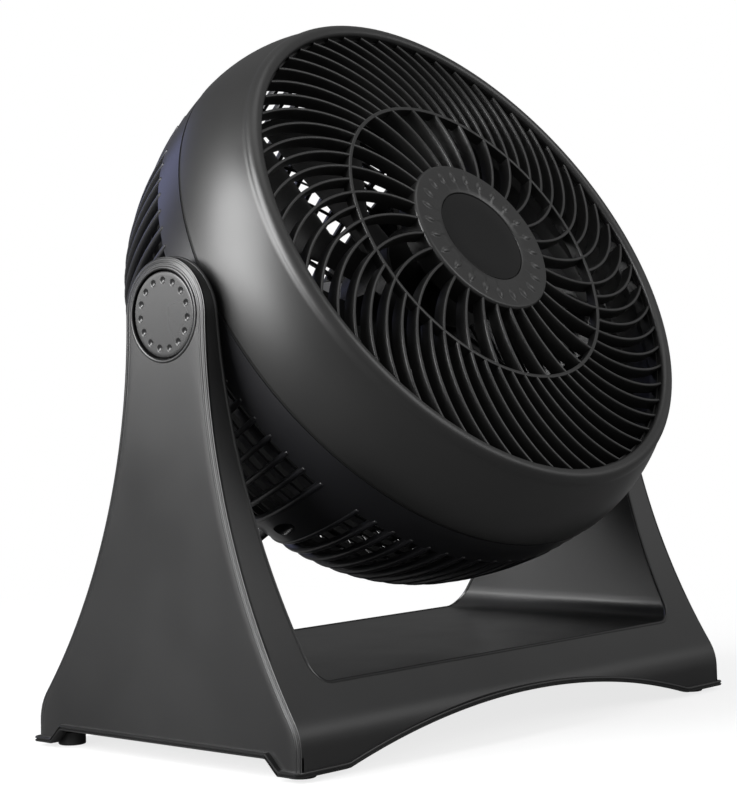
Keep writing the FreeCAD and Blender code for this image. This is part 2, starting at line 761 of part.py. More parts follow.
def front_cowl():
    """The barrel-shaped front ring with its rounded lip, rear spigot and screw posts."""
    outer = SEAM_RADIUS + SEAM_STEP
    spigot = shell_point(shell_lean(SEAM_AT - SPIGOT_LENGTH), SHELL_WALL)[0] - SPIGOT_GAP
    inner = spigot - SPIGOT_WALL
    wall = outer - SHELL_WALL
    crest = rz((LIP_CREST_RADIUS, LIP_CREST_AT))
    front = rz((COWL_FRONT_RADIUS, COWL_FRONT_AT))
    bend = 0.707
    lip_out = rz(
        (
            LIP_CREST_RADIUS + (COWL_FRONT_RADIUS - LIP_CREST_RADIUS) * bend,
            COWL_FRONT_AT + (LIP_CREST_AT - COWL_FRONT_AT) * bend,
        )
    )
    lip_in = rz(
        (
            LIP_CREST_RADIUS - (LIP_CREST_RADIUS - MOUTH_RADIUS) * bend,
            LIP_INNER_AT + (LIP_CREST_AT - LIP_INNER_AT) * bend,
        )
    )
    inner_front = rz((COWL_FRONT_RADIUS - SHELL_WALL, LIP_BACK_AT))
    inner_mid = rz((COWL_MID_RADIUS - SHELL_WALL, COWL_MID_AT))
    inner_rear = rz((wall, SEAM_AT + 3 * SPIGOT_WALL))
    outline = [
        arc(rz((outer, SEAM_AT)), rz((COWL_MID_RADIUS, COWL_MID_AT)), front),
        arc(front, lip_out, crest),
        arc(crest, lip_in, rz((MOUTH_RADIUS, LIP_INNER_AT))),
        line(rz((MOUTH_RADIUS, LIP_INNER_AT)), rz((MOUTH_RADIUS, LIP_BACK_AT))),
        line(rz((MOUTH_RADIUS, LIP_BACK_AT)), inner_front),
        arc(inner_front, inner_mid, inner_rear),
        line(inner_rear, rz((inner, SEAM_AT + SPIGOT_WALL))),
        line(rz((inner, SEAM_AT + SPIGOT_WALL)), rz((inner, SEAM_AT - SPIGOT_LENGTH))),
        line(rz((inner, SEAM_AT - SPIGOT_LENGTH)), rz((spigot, SEAM_AT - SPIGOT_LENGTH))),
        line(rz((spigot, SEAM_AT - SPIGOT_LENGTH)), rz((spigot, SEAM_AT))),
        line(rz((spigot, SEAM_AT)), rz((outer, SEAM_AT))),
    ]
    cowl = turned(outline)
    added = []
    pilots = []
    end = POST_END + COWL_POST_LENGTH
    for panel in panel_angles():
        post = rod(COWL_POST_RADIUS, POST_END, end, POST_CIRCLE)
        reach = inner + SPIGOT_WALL / 2 - POST_CIRCLE
        web = Part.makeBox(reach, POST_WEB, end - POST_END, V(POST_CIRCLE, -POST_WEB / 2, POST_END))
        added.append(about_axis(post.fuse(web), panel))
        pilots.append(about_axis(rod(SHELL_SCREW_SHANK, POST_END, end - POST_WEB, POST_CIRCLE), panel))
    return cut_many(cowl.fuse(added), pilots)


def shell_screws():
    """The four long screws that join the rear shell to the front cowl."""
    seat = POST_END - POST_FLOOR
    head = rod(SHELL_SCREW_HEAD, seat - SHELL_SCREW_HEAD_HEIGHT, seat, POST_CIRCLE)
    shank = rod(SHELL_SCREW_SHANK, seat, seat + SHELL_SCREW_LENGTH, POST_CIRCLE)
    screw = head.fuse(shank).removeSplitter()
    return Part.makeCompound([about_axis(screw, panel) for panel in panel_angles()])


def dome_at(radius):
    """Height of the grille's gently domed front at a radius."""
    return GRILLE_APEX - GRILLE_DOME + math.sqrt(GRILLE_DOME**2 - radius * radius)


def dome_ball(depth):
    """The ball whose top is the grille's domed front, or that front moved back by a depth."""
    return Part.makeSphere(GRILLE_DOME, V(0, 0, GRILLE_APEX - GRILLE_DOME - depth))


def swept_blade(inner, outer):
    """One grille rib: an upright blade on a circular arc that leaves the hub square to it."""
    start = HUB_RADIUS - HUB_WALL / 2
    reach = RIB_SWEEP + RIB_THICK / 2
    inside = RIB_SWEEP - RIB_THICK / 2
    low = dome_at(outer) - RIB_DEPTH - 1.0
    high = GRILLE_APEX + 1.0
    ring = Part.makeCylinder(reach, high - low, V(start, RIB_SWEEP, low))
    ring = ring.cut(Part.makeCylinder(inside, high - low, V(start, RIB_SWEEP, low)))
    quarter = Part.makeBox(2 * reach, RIB_SWEEP, high - low, V(start, 0, low))
    between = tube(outer, inner, low, high)
    return ring.common(quarter).common(between).common(dome_ball(0.0)).cut(dome_ball(RIB_DEPTH))


def front_grille():
    """The front grille: sixty swept ribs, a thin inner ring, the hub and the seat ring behind the lip."""
    tip = MOUTH_RADIUS - DISC_GAP
    long_rib = swept_blade(HUB_RADIUS - HUB_WALL / 2, tip)
    short_rib = swept_blade(INNER_RING_RADIUS, tip)
    step = 360.0 / GRILLE_RIBS
    ribs = []
    for k in range(GRILLE_RIBS):
        rib = long_rib if k % 2 == 0 else short_rib
        ribs.append(about_axis(rib, RIB_PHASE - rib_turn() + step * k))
    half = INNER_RING_WIDTH / 2
    ring_front = dome_at(INNER_RING_RADIUS)
    ring = tube(INNER_RING_RADIUS + half, INNER_RING_RADIUS - half, ring_front - INNER_RING_DEPTH, ring_front)
    seat_front = LIP_BACK_AT - SEAT_GAP
    seat_inner = tip - SEAT_RING_LAP
    seat = tube(seat_inner + SEAT_RING_WIDTH, seat_inner, seat_front - SEAT_RING_DEPTH, seat_front)
    return grille_hub().fuse(ribs + [ring, seat])


def rib_turn():
    """The angle that a rib gains between the hub and its outer end."""
    tip = MOUTH_RADIUS - DISC_GAP
    start = HUB_RADIUS - HUB_WALL / 2
    far = math.hypot(start, RIB_SWEEP)
    cosine = (far * far + tip * tip - RIB_SWEEP**2) / (2 * far * tip)
    return math.degrees(math.atan2(RIB_SWEEP, start) - math.acos(cosine))


def grille_hub():
    """The hub cup with raised bumps round its face and a sunk seat for the bare disc."""
    back = HUB_FRONT - HUB_DEPTH
    seat = HUB_FRONT - DISC_SUNK - DISC_THICK
    inside = seat - HUB_WALL
    edge = HUB_EDGE
    outline = [
        (0, seat),
        (DISC_RADIUS + DISC_GAP, seat),
        (DISC_RADIUS + DISC_GAP, HUB_FRONT),
        (HUB_RADIUS - edge, HUB_FRONT),
        (HUB_RADIUS, HUB_FRONT - edge),
        (HUB_RADIUS, back),
        (HUB_RADIUS - HUB_WALL, back),
        (HUB_RADIUS - HUB_WALL, inside),
        (0, inside),
    ]
    ball = (BUMP_RADIUS**2 + BUMP_HEIGHT**2) / (2 * BUMP_HEIGHT)
    bump = Part.makeSphere(ball, V(BUMP_CIRCLE, 0, HUB_FRONT + BUMP_HEIGHT - ball))
    above = Part.makeCylinder(HUB_RADIUS, HUB_WALL, V(0, 0, HUB_FRONT - HUB_WALL / 2))
    return turned_polygon(outline).fuse(ring_of(bump.common(above), HUB_BUMPS))


def hub_disc():
    """The bare round disc set into the hub."""
    seat = HUB_FRONT - DISC_SUNK - DISC_THICK
    return rod(DISC_RADIUS, seat, seat + DISC_THICK)


def motor_rear_bracket():
    """The cup that closes the back of the motor and holds the rear bush."""
    back = -MOTOR_BACK
    cup = tube(MOTOR_RADIUS, MOTOR_RADIUS - BRACKET_WALL, back, CORE_BACK)
    plate = tube(MOTOR_RADIUS, SHAFT_RADIUS + AIR_GAP, back, back + BUSH_SEAT)
    pocket = tube(BUSH_RADIUS + BRACKET_WALL, BUSH_RADIUS, back + BUSH_SEAT, back + BUSH_SEAT + BUSH_LENGTH)
    lugs = motor_screw_rods(MOTOR_BOSS_RADIUS, back, back + MOTOR_SCREW_LENGTH)
    bracket = cup.fuse([plate, pocket] + lugs)
    return cut_many(bracket, motor_screw_rods(MOTOR_SCREW_RADIUS, back, back + MOTOR_SCREW_LENGTH))


def motor_front_bracket():
    """The cup that closes the front of the motor and holds the front bush."""
    front = MOTOR_FRONT
    cup = tube(MOTOR_RADIUS, MOTOR_RADIUS - BRACKET_WALL, CORE_FRONT, front)
    plate = tube(MOTOR_RADIUS, SHAFT_RADIUS + AIR_GAP, front - BUSH_SEAT, front)
    pocket = tube(BUSH_RADIUS + BRACKET_WALL, BUSH_RADIUS, front - BUSH_SEAT - BUSH_LENGTH, front - BUSH_SEAT)
    return cup.fuse([plate, pocket])


def stator_core():
    """The stack of steel sheets between the two brackets."""
    return tube(MOTOR_RADIUS, ROTOR_RADIUS + AIR_GAP, CORE_BACK, CORE_FRONT)


def stator_windings():
    """The copper end turns at both faces of the core."""
    rear = tube(COIL_OUTER, COIL_INNER, CORE_BACK - COIL_LENGTH, CORE_BACK)
    front = tube(COIL_OUTER, COIL_INNER, CORE_FRONT, CORE_FRONT + COIL_LENGTH)
    return Part.makeCompound([rear, front])


def bush(start):
    """A plain bearing bush for the motor shaft."""
    return tube(BUSH_RADIUS, SHAFT_RADIUS + RUNNING_FIT, start, start + BUSH_LENGTH)


def rotor_core():
    """The turning core of the motor, pressed on the shaft."""
    return tube(ROTOR_RADIUS, SHAFT_RADIUS, CORE_BACK, CORE_FRONT)


def motor_shaft():
    """The steel shaft from the rear bush to the fan nut."""
    return rod(SHAFT_RADIUS, -MOTOR_BACK + BUSH_SEAT, FAN_HUB_BACK + FAN_HUB_LENGTH + NUT_LENGTH / 2)


def motor_screws():
    """The four screws that hold the motor to the back of the rear shell."""
    head = rod(MOTOR_SCREW_HEAD, BACK_AT - MOTOR_SCREW_HEAD_HEIGHT, BACK_AT, MOTOR_SCREW_CIRCLE)
    shank = rod(MOTOR_SCREW_RADIUS, BACK_AT, -MOTOR_BACK + MOTOR_SCREW_LENGTH, MOTOR_SCREW_CIRCLE)
    return Part.makeCompound(ring_of(head.fuse(shank).removeSplitter(), 4, 45.0))


def blade_section(radius, ahead, behind, pitch):
    """The cambered section of a fan blade at a radius, as a wire in a plane square to the radius.

    It reaches a length ahead of and a length behind the blade's own middle line.
    """
    centre = (behind - ahead) / 2
    hollow = (ahead + behind) * BLADE_CAMBER
    middle = FAN_HUB_BACK + FAN_HUB_LENGTH / 2
    turn = rad(pitch)

    def spot(along, up):
        return V(
            radius,
            along * math.cos(turn) + up * math.sin(turn),
            middle - along * math.sin(turn) + up * math.cos(turn),
        )

    thick = BLADE_THICK / 2
    upper = arc(spot(-ahead, thick), spot(centre, thick - hollow), spot(behind, thick))
    lower = arc(spot(behind, -thick), spot(centre, -thick - hollow), spot(-ahead, -thick))
    tail = line(spot(behind, thick), spot(behind, -thick))
    nose = line(spot(-ahead, -thick), spot(-ahead, thick))
    return Part.Wire([upper, tail, lower, nose])


def fan_blades():
    """The fan: a hollow hub with a shaft boss and twisted blades trimmed to a round tip."""
    front = FAN_HUB_BACK + FAN_HUB_LENGTH
    hub = tube(FAN_HUB_RADIUS, FAN_HUB_RADIUS - FAN_HUB_WALL, FAN_HUB_BACK, front)
    plate = tube(FAN_HUB_RADIUS, SHAFT_RADIUS, front - FAN_HUB_WALL, front)
    boss = tube(FAN_BOSS_RADIUS, SHAFT_RADIUS, FAN_HUB_BACK, front)
    root = FAN_HUB_RADIUS - FAN_HUB_WALL
    blade = Part.makeLoft(
        [
            blade_section(root - FAN_HUB_WALL, BLADE_ROOT_FRONT, BLADE_ROOT_BACK, BLADE_ROOT_PITCH),
            blade_section(BLADE_NECK_RADIUS, BLADE_NECK_FRONT, BLADE_NECK_BACK, BLADE_NECK_PITCH),
            blade_section(FAN_RADIUS + FAN_HUB_WALL, BLADE_TIP_FRONT, BLADE_TIP_BACK, BLADE_TIP_PITCH),
        ],
        True,
        True,
    )
    low = FAN_HUB_BACK - FAN_HUB_LENGTH
    trim = tube(FAN_RADIUS, FAN_HUB_RADIUS - FAN_HUB_WALL / 2, low, front + FAN_HUB_LENGTH)
    blade = blade.common(trim)
    return hub.fuse([plate, boss] + ring_of(blade, FAN_BLADES, BLADE_FIRST))


def fan_nut():
    """The hand nut that holds the fan on its shaft."""
    front = FAN_HUB_BACK + FAN_HUB_LENGTH
    nut = Part.makeCylinder(NUT_RADIUS, NUT_LENGTH, V(0, 0, front))
    return nut.cut(rod(SHAFT_RADIUS, front, front + NUT_LENGTH / 2))


def control_cover():
    """The round cover on the back that holds the switch and hides the motor screws."""
    outer = BACK_AT
    end = outer - COVER_DEPTH
    inner = end + COVER_WALL
    rim = COVER_RADIUS - COVER_WALL
    outline = [
        (SPINDLE_RADIUS + KNOB_GAP, end),
        (COVER_RADIUS - COVER_EDGE, end),
        (COVER_RADIUS, end + COVER_EDGE),
        (COVER_RADIUS, outer),
        (rim, outer),
        (rim, end + COVER_EDGE),
        (rim - COVER_EDGE + COVER_WALL, inner),
        (SPINDLE_RADIUS + KNOB_GAP, inner),
    ]
    posts = cover_screw_rods(COVER_POST_RADIUS, end + COVER_WALL / 2, outer)
    cover = turned_polygon(outline).fuse(posts)
    holes = cover_screw_rods(COVER_SCREW_RADIUS + SEAT_GAP, end, outer)
    sinks = cover_screw_rods(COVER_SCREW_HEAD + SEAT_GAP, end, outer - COVER_SCREW_LENGTH + SHELL_WALL)
    return cut_many(cover, holes + sinks)


def cover_screws():
    """The three screws that hold the control cover."""
    seat = BACK_AT - COVER_SCREW_LENGTH + SHELL_WALL
    heads = cover_screw_rods(COVER_SCREW_HEAD, seat - COVER_SCREW_HEAD_HEIGHT, seat)
    shanks = cover_screw_rods(COVER_SCREW_RADIUS, seat, BACK_AT + SHELL_WALL)
    return Part.makeCompound([h.fuse(s).removeSplitter() for h, s in zip(heads, shanks)])


def rotary_switch():
    """The speed switch fixed inside the control cover."""
    inner = BACK_AT - COVER_DEPTH + COVER_WALL
    half = SWITCH_SIZE / 2
    body = Part.makeBox(SWITCH_SIZE, SWITCH_SIZE, SWITCH_DEPTH, V(-half, -half, inner))
    return body.cut(rod(SPINDLE_RADIUS + RUNNING_FIT, inner, inner + SWITCH_DEPTH / 2))


def switch_spindle():
    """The spindle that turns the switch and carries the knob."""
    start = BACK_AT - COVER_DEPTH + COVER_WALL + SWITCH_DEPTH / 2
    return rod(SPINDLE_RADIUS, start - SPINDLE_LENGTH, start)


def speed_knob():
    """The speed knob: a skirted round body with a finger bar across its face."""
    base = BACK_AT - COVER_DEPTH - KNOB_GAP
    end = base - KNOB_HEIGHT
    skirt = rod(KNOB_RADIUS, base - KNOB_SKIRT, base)
    body = rod(KNOB_RADIUS - KNOB_SKIRT, base - KNOB_HEIGHT / 2, base - KNOB_SKIRT)
    bar = Part.makeBox(KNOB_GRIP, 2 * KNOB_RADIUS, KNOB_HEIGHT, V(-KNOB_GRIP / 2, -KNOB_RADIUS, end))
    bar = bar.common(rod(KNOB_RADIUS - KNOB_SKIRT / 2, end, base))
    knob = skirt.fuse([body, bar])
    start = BACK_AT - COVER_DEPTH + COVER_WALL + SWITCH_DEPTH / 2 - SPINDLE_LENGTH
    return knob.cut(rod(SPINDLE_RADIUS, start, base)).removeSplitter()


def capacitor():
    """The motor's run capacitor, fixed inside the control cover."""
    inner = BACK_AT - COVER_DEPTH + COVER_WALL
    corner = V(-CAPACITOR_WIDTH / 2, CAPACITOR_UP - CAPACITOR_HEIGHT / 2, inner)
    return Part.makeBox(CAPACITOR_WIDTH, CAPACITOR_HEIGHT, CAPACITOR_DEPTH, corner)


def cord_gland():
    """The bush through which the supply lead enters, set in the lower left panel."""
    inside = shell_inside()
    body = rod(GLAND_RADIUS, -GLAND_END, SHOULDER_AT, GLAND_CIRCLE)
    body = body.cut(inside)
    bore = rod(GLAND_BORE, -GLAND_END, SHOULDER_AT, GLAND_CIRCLE)
    return about_axis(body.cut(bore), gland_direction())


def build():
    """Make every piece and write each to its own file."""
    os.makedirs("parts", exist_ok=True)
    save("base_yoke", base_yoke())
    save("rubber_feet", rubber_feet())
    save("foot_screws", foot_screws())
    for name, maker in (
        ("pivot_cap", pivot_cap),
        ("friction_washer", friction_washer),
        ("spring_washer", spring_washer),
        ("pivot_bolt", pivot_bolt),
    ):
        piece = maker()
        save("right_" + name, piece)
        save("left_" + name, to_left(piece))
    head = {
        "front_cowl": front_cowl(),
        "front_grille": front_grille(),
        "hub_disc": hub_disc(),
        "rear_housing": rear_housing(),
        "shell_screws": shell_screws(),
        "motor_rear_bracket": motor_rear_bracket(),
        "motor_front_bracket": motor_front_bracket(),
        "stator_core": stator_core(),
        "stator_windings": stator_windings(),
        "rear_bush": bush(-MOTOR_BACK + BUSH_SEAT),
        "front_bush": bush(MOTOR_FRONT - BUSH_SEAT - BUSH_LENGTH),
        "motor_screws": motor_screws(),
        "rotor_core": rotor_core(),
        "motor_shaft": motor_shaft(),
        "fan_blades": fan_blades(),
        "fan_nut": fan_nut(),
        "control_cover": control_cover(),
        "cover_screws": cover_screws(),
        "rotary_switch": rotary_switch(),
        "switch_spindle": switch_spindle(),
        "speed_knob": speed_knob(),
        "capacitor": capacitor(),
        "cord_gland": cord_gland(),
    }
    for name, piece in head.items():
        save(name, at_head(piece))


build()
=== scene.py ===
"""The looks of a tabletop turbo fan in charcoal moulded plastic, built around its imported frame."""
import json
import math

import bmesh
import bpy
import numpy as np
from mathutils import Matrix


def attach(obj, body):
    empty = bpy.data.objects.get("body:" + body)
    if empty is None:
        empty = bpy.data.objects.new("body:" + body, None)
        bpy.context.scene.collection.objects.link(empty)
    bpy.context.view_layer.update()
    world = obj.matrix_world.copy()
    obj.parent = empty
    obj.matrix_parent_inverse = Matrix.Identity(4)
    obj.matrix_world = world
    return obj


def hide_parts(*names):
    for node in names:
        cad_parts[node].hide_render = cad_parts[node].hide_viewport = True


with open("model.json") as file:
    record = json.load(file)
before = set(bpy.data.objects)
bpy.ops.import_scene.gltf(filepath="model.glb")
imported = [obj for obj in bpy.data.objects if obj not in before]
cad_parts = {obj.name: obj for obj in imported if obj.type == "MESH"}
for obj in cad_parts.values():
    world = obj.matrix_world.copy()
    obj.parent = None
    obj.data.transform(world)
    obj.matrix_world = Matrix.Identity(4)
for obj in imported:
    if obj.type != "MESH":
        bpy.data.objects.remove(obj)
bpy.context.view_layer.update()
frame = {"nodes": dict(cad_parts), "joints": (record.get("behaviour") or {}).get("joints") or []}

# The base is one hollow moulding in charcoal plastic: two tall legs, a deck and flared skirts.
# Its satin skin comes from a lightly textured mould, and the legs' outer faces roll over at their edges.
# It stands on four feet, and the head hangs between its legs on the two pivots.
MM = 0.001
JOINTS = {joint["name"]: joint for joint in frame["joints"]}
PIVOT = np.array(JOINTS["head_tilt"]["pos_m"]) / MM
BASE_MIDDLE = 5.0
BASE_LIFT = 2.4
BASE_HALF_WIDTH = 185.0
BASE_HALF_DEPTH = 100.0
SKIRT_HALF = 98.4
LEG_TOP_RADIUS = 29.5
LEG_FOOT_HALF = 181.8
LEG_TOP_HALF = 177.2
LEG_INNER_DECK = 153.6
LEG_INNER_TOP = 167.0
DECK_HEIGHT = 43.9
DECK_CORNER = 12.0
KNEE_HEIGHT = 22.4
KNEE_RADIUS = 26.0
NECK_DROP = 42.0
RECESS_RADIUS = 23.1
RECESS_FLOOR = 170.2
PAD_RADIUS = 15.0
PAD_FACE = 165.6
ARCH_HALF = 147.5
ARCH_RISE = 20.5
SIDE_RISE = 7.8
SIDE_HIGH = 77.5
SIDE_LOW = 85.5
ROLL_WIDTH = 8.0
ROLL_DROP = 1.3
NECK_EDGE = 0.1
BOLT_HOLE = 1.5
TOP_POINTS = 27
TOP_RINGS = np.array([0.0, 0.25, 0.5, 0.725, 0.75, 1.0])
LOWER_ROWS = 58
DECK_POINTS = 30
FACE_COLUMNS = 20
EDGE_STEP = 2.2
EDGE_MOST = 0.2
REACH_ROUNDS = 12
LEVEL_BAND = 0.02
WELD_GAP = 0.02
SLIVER = 0.005
NECK_COLUMNS = (13, 15)
GRAIN_PER_METRE = 1500.0
GRAIN_STRENGTH = 0.5
CLOUD_RANGE = (0.3, 0.7)


def added(tree, kind, values=(), operation=None):
    """A new node in a tree, with its operation and the values of its sockets, by name or by number."""
    made = tree.nodes.new(kind)
    if operation:
        made.operation = operation
    for socket, value in dict(values).items():
        made.inputs[socket].default_value = value
    return made


def wired(tree, *links):
    """Join sockets of a tree, each link given as a node, its output, the next node and its input."""
    for source, out, target, into in links:
        tree.links.new(source.outputs[out], target.inputs[into])


def moulded_grain():
    """Two scales of soft noise in the piece's own space: fine grain for bump and a slow cloud for colour."""
    group = bpy.data.node_groups.new("moulded_grain", "ShaderNodeTree")
    face = group.interface
    grain_in = face.new_socket(name="Grain per metre", in_out="INPUT", socket_type="NodeSocketFloat")
    grain_in.default_value = GRAIN_PER_METRE
    face.new_socket(name="Grain", in_out="OUTPUT", socket_type="NodeSocketFloat")
    face.new_socket(name="Cloud", in_out="OUTPUT", socket_type="NodeSocketFloat")
    start = added(group, "NodeGroupInput")
    end = added(group, "NodeGroupOutput")
    place = added(group, "ShaderNodeTexCoord")
    grain = added(group, "ShaderNodeTexNoise", {"Detail": 2.0})
    cloud = added(group, "ShaderNodeTexNoise", {"Scale": 14.0, "Detail": 3.0})
    wired(
        group,
        (place, "Object", grain, "Vector"),
        (place, "Object", cloud, "Vector"),
        (start, "Grain per metre", grain, "Scale"),
        (grain, "Fac", end, "Grain"),
        (cloud, "Fac", end, "Cloud"),
    )
    return group


GRAIN = moulded_grain()


def ranged(tree, source, target):
    """A node that carries values from one range to another along a straight line."""
    ends = {"From Min": source[0], "From Max": source[1], "To Min": target[0], "To Max": target[1]}
    return added(tree, "ShaderNodeMapRange", ends)


def toned(tree, places, tones):
    """A colour ramp between two tones that stand at two places of its range."""
    ramp = added(tree, "ShaderNodeValToRGB")
    for stop, place, tone in zip(ramp.color_ramp.elements, places, tones):
        stop.position = place
        stop.color = (*tone, 1.0)
    return ramp


def moulded(name, dark, light, smooth, rough, grain_height, metal=0.0, pitch=GRAIN_PER_METRE, shine=0.5):
    """A moulded or cast skin: slow cloud noise moves colour and gloss a little, fine grain lifts it."""
    made = bpy.data.materials.new(name)
    made.use_nodes = True
    tree = made.node_tree
    skin = tree.nodes["Principled BSDF"]
    skin.inputs["Metallic"].default_value = metal
    skin.inputs["Specular IOR Level"].default_value = shine
    texture = added(tree, "ShaderNodeGroup")
    texture.node_tree = GRAIN
    texture.inputs["Grain per metre"].default_value = pitch
    colour = toned(tree, CLOUD_RANGE, (dark, light))
    gloss = ranged(tree, CLOUD_RANGE, (smooth, rough))
    lift = added(tree, "ShaderNodeBump", {"Strength": GRAIN_STRENGTH, "Distance": grain_height})
    wired(
        tree,
        (texture, "Cloud", colour, "Fac"),
        (texture, "Cloud", gloss, "Value"),
        (texture, "Grain", lift, "Height"),
        (colour, "Color", skin, "Base Color"),
        (gloss, "Result", skin, "Roughness"),
        (lift, "Normal", skin, "Normal"),
    )
    return made


SHELL = moulded("shell_satin", (0.006, 0.006, 0.0062), (0.008, 0.008, 0.0082), 0.28, 0.35, 0.00003)


def patch(points, close_rows=False, close_columns=False):
    """A grid of points as a flat list with the corner numbers of its four-sided faces.

    Faces join each point to the next in its row and in its column; a closed side joins last to first.
    """
    points = np.asarray(points, float)
    rows, columns = points.shape[:2]
    i, j = np.meshgrid(
        np.arange(rows if close_rows else rows - 1),
        np.arange(columns if close_columns else columns - 1),
        indexing="ij",
    )
    i2 = (i + 1) % rows
    j2 = (j + 1) % columns
    faces = np.stack([i * columns + j, i * columns + j2, i2 * columns + j2, i2 * columns + j], -1)
    return points.reshape(-1, 3), faces.reshape(-1, 4)


def joined(patches):
    """Several patches as one, with the corner numbers of each moved past those before it."""
    starts = np.cumsum([0] + [len(points) for points, _ in patches[:-1]])
    return (
        np.concatenate([points for points, _ in patches]),
        np.concatenate([faces + start for (_, faces), start in zip(patches, starts)]),
    )


def placed(name, data):
    """A new object in the scene that shows a mesh, a lamp or a camera."""
    made = bpy.data.objects.new(name, data)
    bpy.context.scene.collection.objects.link(made)
    return made


def welded(name, patches):
    """A mesh object from patches in millimetres: shared edges are merged and faces turned outwards."""
    points, faces = joined(patches)
    mesh = bpy.data.meshes.new(name)
    mesh.from_pydata((points * MM).tolist(), [], faces.tolist())
    shaped = bmesh.new()
    shaped.from_mesh(mesh)
    bmesh.ops.remove_doubles(shaped, verts=shaped.verts, dist=WELD_GAP * MM)
    bmesh.ops.dissolve_degenerate(shaped, edges=shaped.edges, dist=SLIVER * MM)
    bmesh.ops.recalc_face_normals(shaped, faces=shaped.faces)
    shaped.to_mesh(mesh)
    shaped.free()
    return placed(name, mesh)


def settle(made, finish, body, nodes=(), crease=35.0):
    """Smooth the piece except at creases, give it its finish and set it on its body in place of its nodes."""
    made.data.materials.append(finish)
    made.data.shade_smooth()
    made.data.set_sharp_from_angle(angle=math.radians(crease))
    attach(made, body)
    if nodes:
        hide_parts(*nodes)
    return made


def bell(z, side):
    """Depth of the base's side outline at heights z, on the front (-1) or the back (+1).

    Above the pivot it is a circle, below it one large hollow arc, then a small round into the upright skirt.
    """
    z = np.asarray(z, float)
    skirt = BASE_MIDDLE + side * SKIRT_HALF
    reach = abs(skirt) - LEG_TOP_RADIUS
    drop = PIVOT[2] - KNEE_HEIGHT
    flare = (drop**2 + reach**2) / (2 * reach)
    centre = side * (LEG_TOP_RADIUS + flare)
    knee_y = skirt - side * KNEE_RADIUS
    height = math.sqrt((flare + KNEE_RADIUS) ** 2 - (centre - knee_y) ** 2)
    knee_z = PIVOT[2] - height
    touch = knee_z + KNEE_RADIUS * height / (flare + KNEE_RADIUS)
    top = side * np.sqrt(np.clip(LEG_TOP_RADIUS**2 - (z - PIVOT[2]) ** 2, 0, None))
    middle = centre - side * np.sqrt(np.clip(flare**2 - (PIVOT[2] - z) ** 2, 0, None))
    knee = knee_y + side * np.sqrt(np.clip(KNEE_RADIUS**2 - (z - knee_z) ** 2, 0, None))
    low = np.where(z >= knee_z, knee, skirt)
    return np.where(z >= PIVOT[2], top, np.where(z >= touch, middle, low))


def leg_outer(z):
    """Half width of the base at heights z, as a straight lean."""
    return LEG_FOOT_HALF + (LEG_TOP_HALF - LEG_FOOT_HALF) * (z - BASE_LIFT) / (PIVOT[2] - BASE_LIFT)


def leg_inner(z):
    """Distance of the leg's inner face from the middle at heights z, as a straight lean."""
    return LEG_INNER_DECK + (LEG_INNER_TOP - LEG_INNER_DECK) * (z - DECK_HEIGHT) / (PIVOT[2] - DECK_HEIGHT)


def arch(x):
    """Height of the front lower edge: flat at the corners and a shallow circle between."""
    radius = (ARCH_HALF**2 + ARCH_RISE**2) / (2 * ARCH_RISE)
    rise = np.sqrt(radius**2 - np.clip(np.abs(x), 0, ARCH_HALF) ** 2) - radius + ARCH_RISE
    return BASE_LIFT + rise


def side_edge(y):
    """Height of the leg's lower edge: raised between the corners, with a short slant to each."""
    away = np.abs(y - BASE_MIDDLE)
    return BASE_LIFT + SIDE_RISE * np.clip((SIDE_LOW - away) / (SIDE_LOW - SIDE_HIGH), 0, 1)


def eased(length):
    """Shares of a length with one short step of a set size at each end and even steps between."""
    step = np.minimum(EDGE_STEP / np.maximum(length, SLIVER), EDGE_MOST)
    between = np.linspace(0, 1, FACE_COLUMNS)
    shares = step[..., None] + (1 - 2 * step[..., None]) * between
    ends = np.zeros_like(step)[..., None]
    return np.concatenate([ends, shares, ends + 1], -1)


neck_z = PIVOT[2] - NECK_DROP
near_edge = np.linspace(0, NECK_EDGE, NECK_COLUMNS[0])
between = np.linspace(NECK_EDGE, 1 - NECK_EDGE, NECK_COLUMNS[1])[1:-1]
neck_shares = np.concatenate([near_edge, between, 1 - near_edge[::-1]])
neck_y = bell(neck_z, -1) + neck_shares * (bell(neck_z, 1) - bell(neck_z, -1))
around_low = 2 * math.pi + np.arctan2(-NECK_DROP, neck_y)
around_back = np.linspace(around_low[-1] - 2 * math.pi, math.pi / 2, TOP_POINTS)
around_front = np.linspace(math.pi / 2, around_low[0], TOP_POINTS)


def rolled(y, z):
    """How far the leg's outer face falls back at a point: a parabola that starts a set width from the edge.

    The distance to the edge is level below the pivot and towards the pivot above it.
    """
    level = np.minimum(y - bell(z, -1), bell(z, 1) - y)
    away = np.where(z >= PIVOT[2], LEG_TOP_RADIUS - np.hypot(y, z - PIVOT[2]), level)
    return ROLL_DROP * np.clip(1 - away / ROLL_WIDTH, 0, 1) ** 2


def top_reach(angle):
    """Distance from the pivot to the leg's outline in a direction, found by stepping along the outline."""
    side = np.where(np.cos(angle) < 0, -1, 1)
    reach = np.full(angle.shape, LEG_TOP_RADIUS)
    for _ in range(REACH_ROUNDS):
        height = PIVOT[2] + reach * np.sin(angle)
        depth = np.where(side < 0, bell(height, -1), bell(height, 1))
        below = np.sin(angle) < -LEVEL_BAND
        reach = np.where(below, np.abs(depth / np.cos(angle)), LEG_TOP_RADIUS)
    return reach


turn_all = np.concatenate([around_back[:-1], around_front[:-1], around_low[:-1]])
over_top = top_reach(np.concatenate([around_back[:-1], around_front[:-1]]))
reach_all = np.concatenate([over_top, NECK_DROP / -np.sin(around_low[:-1])])


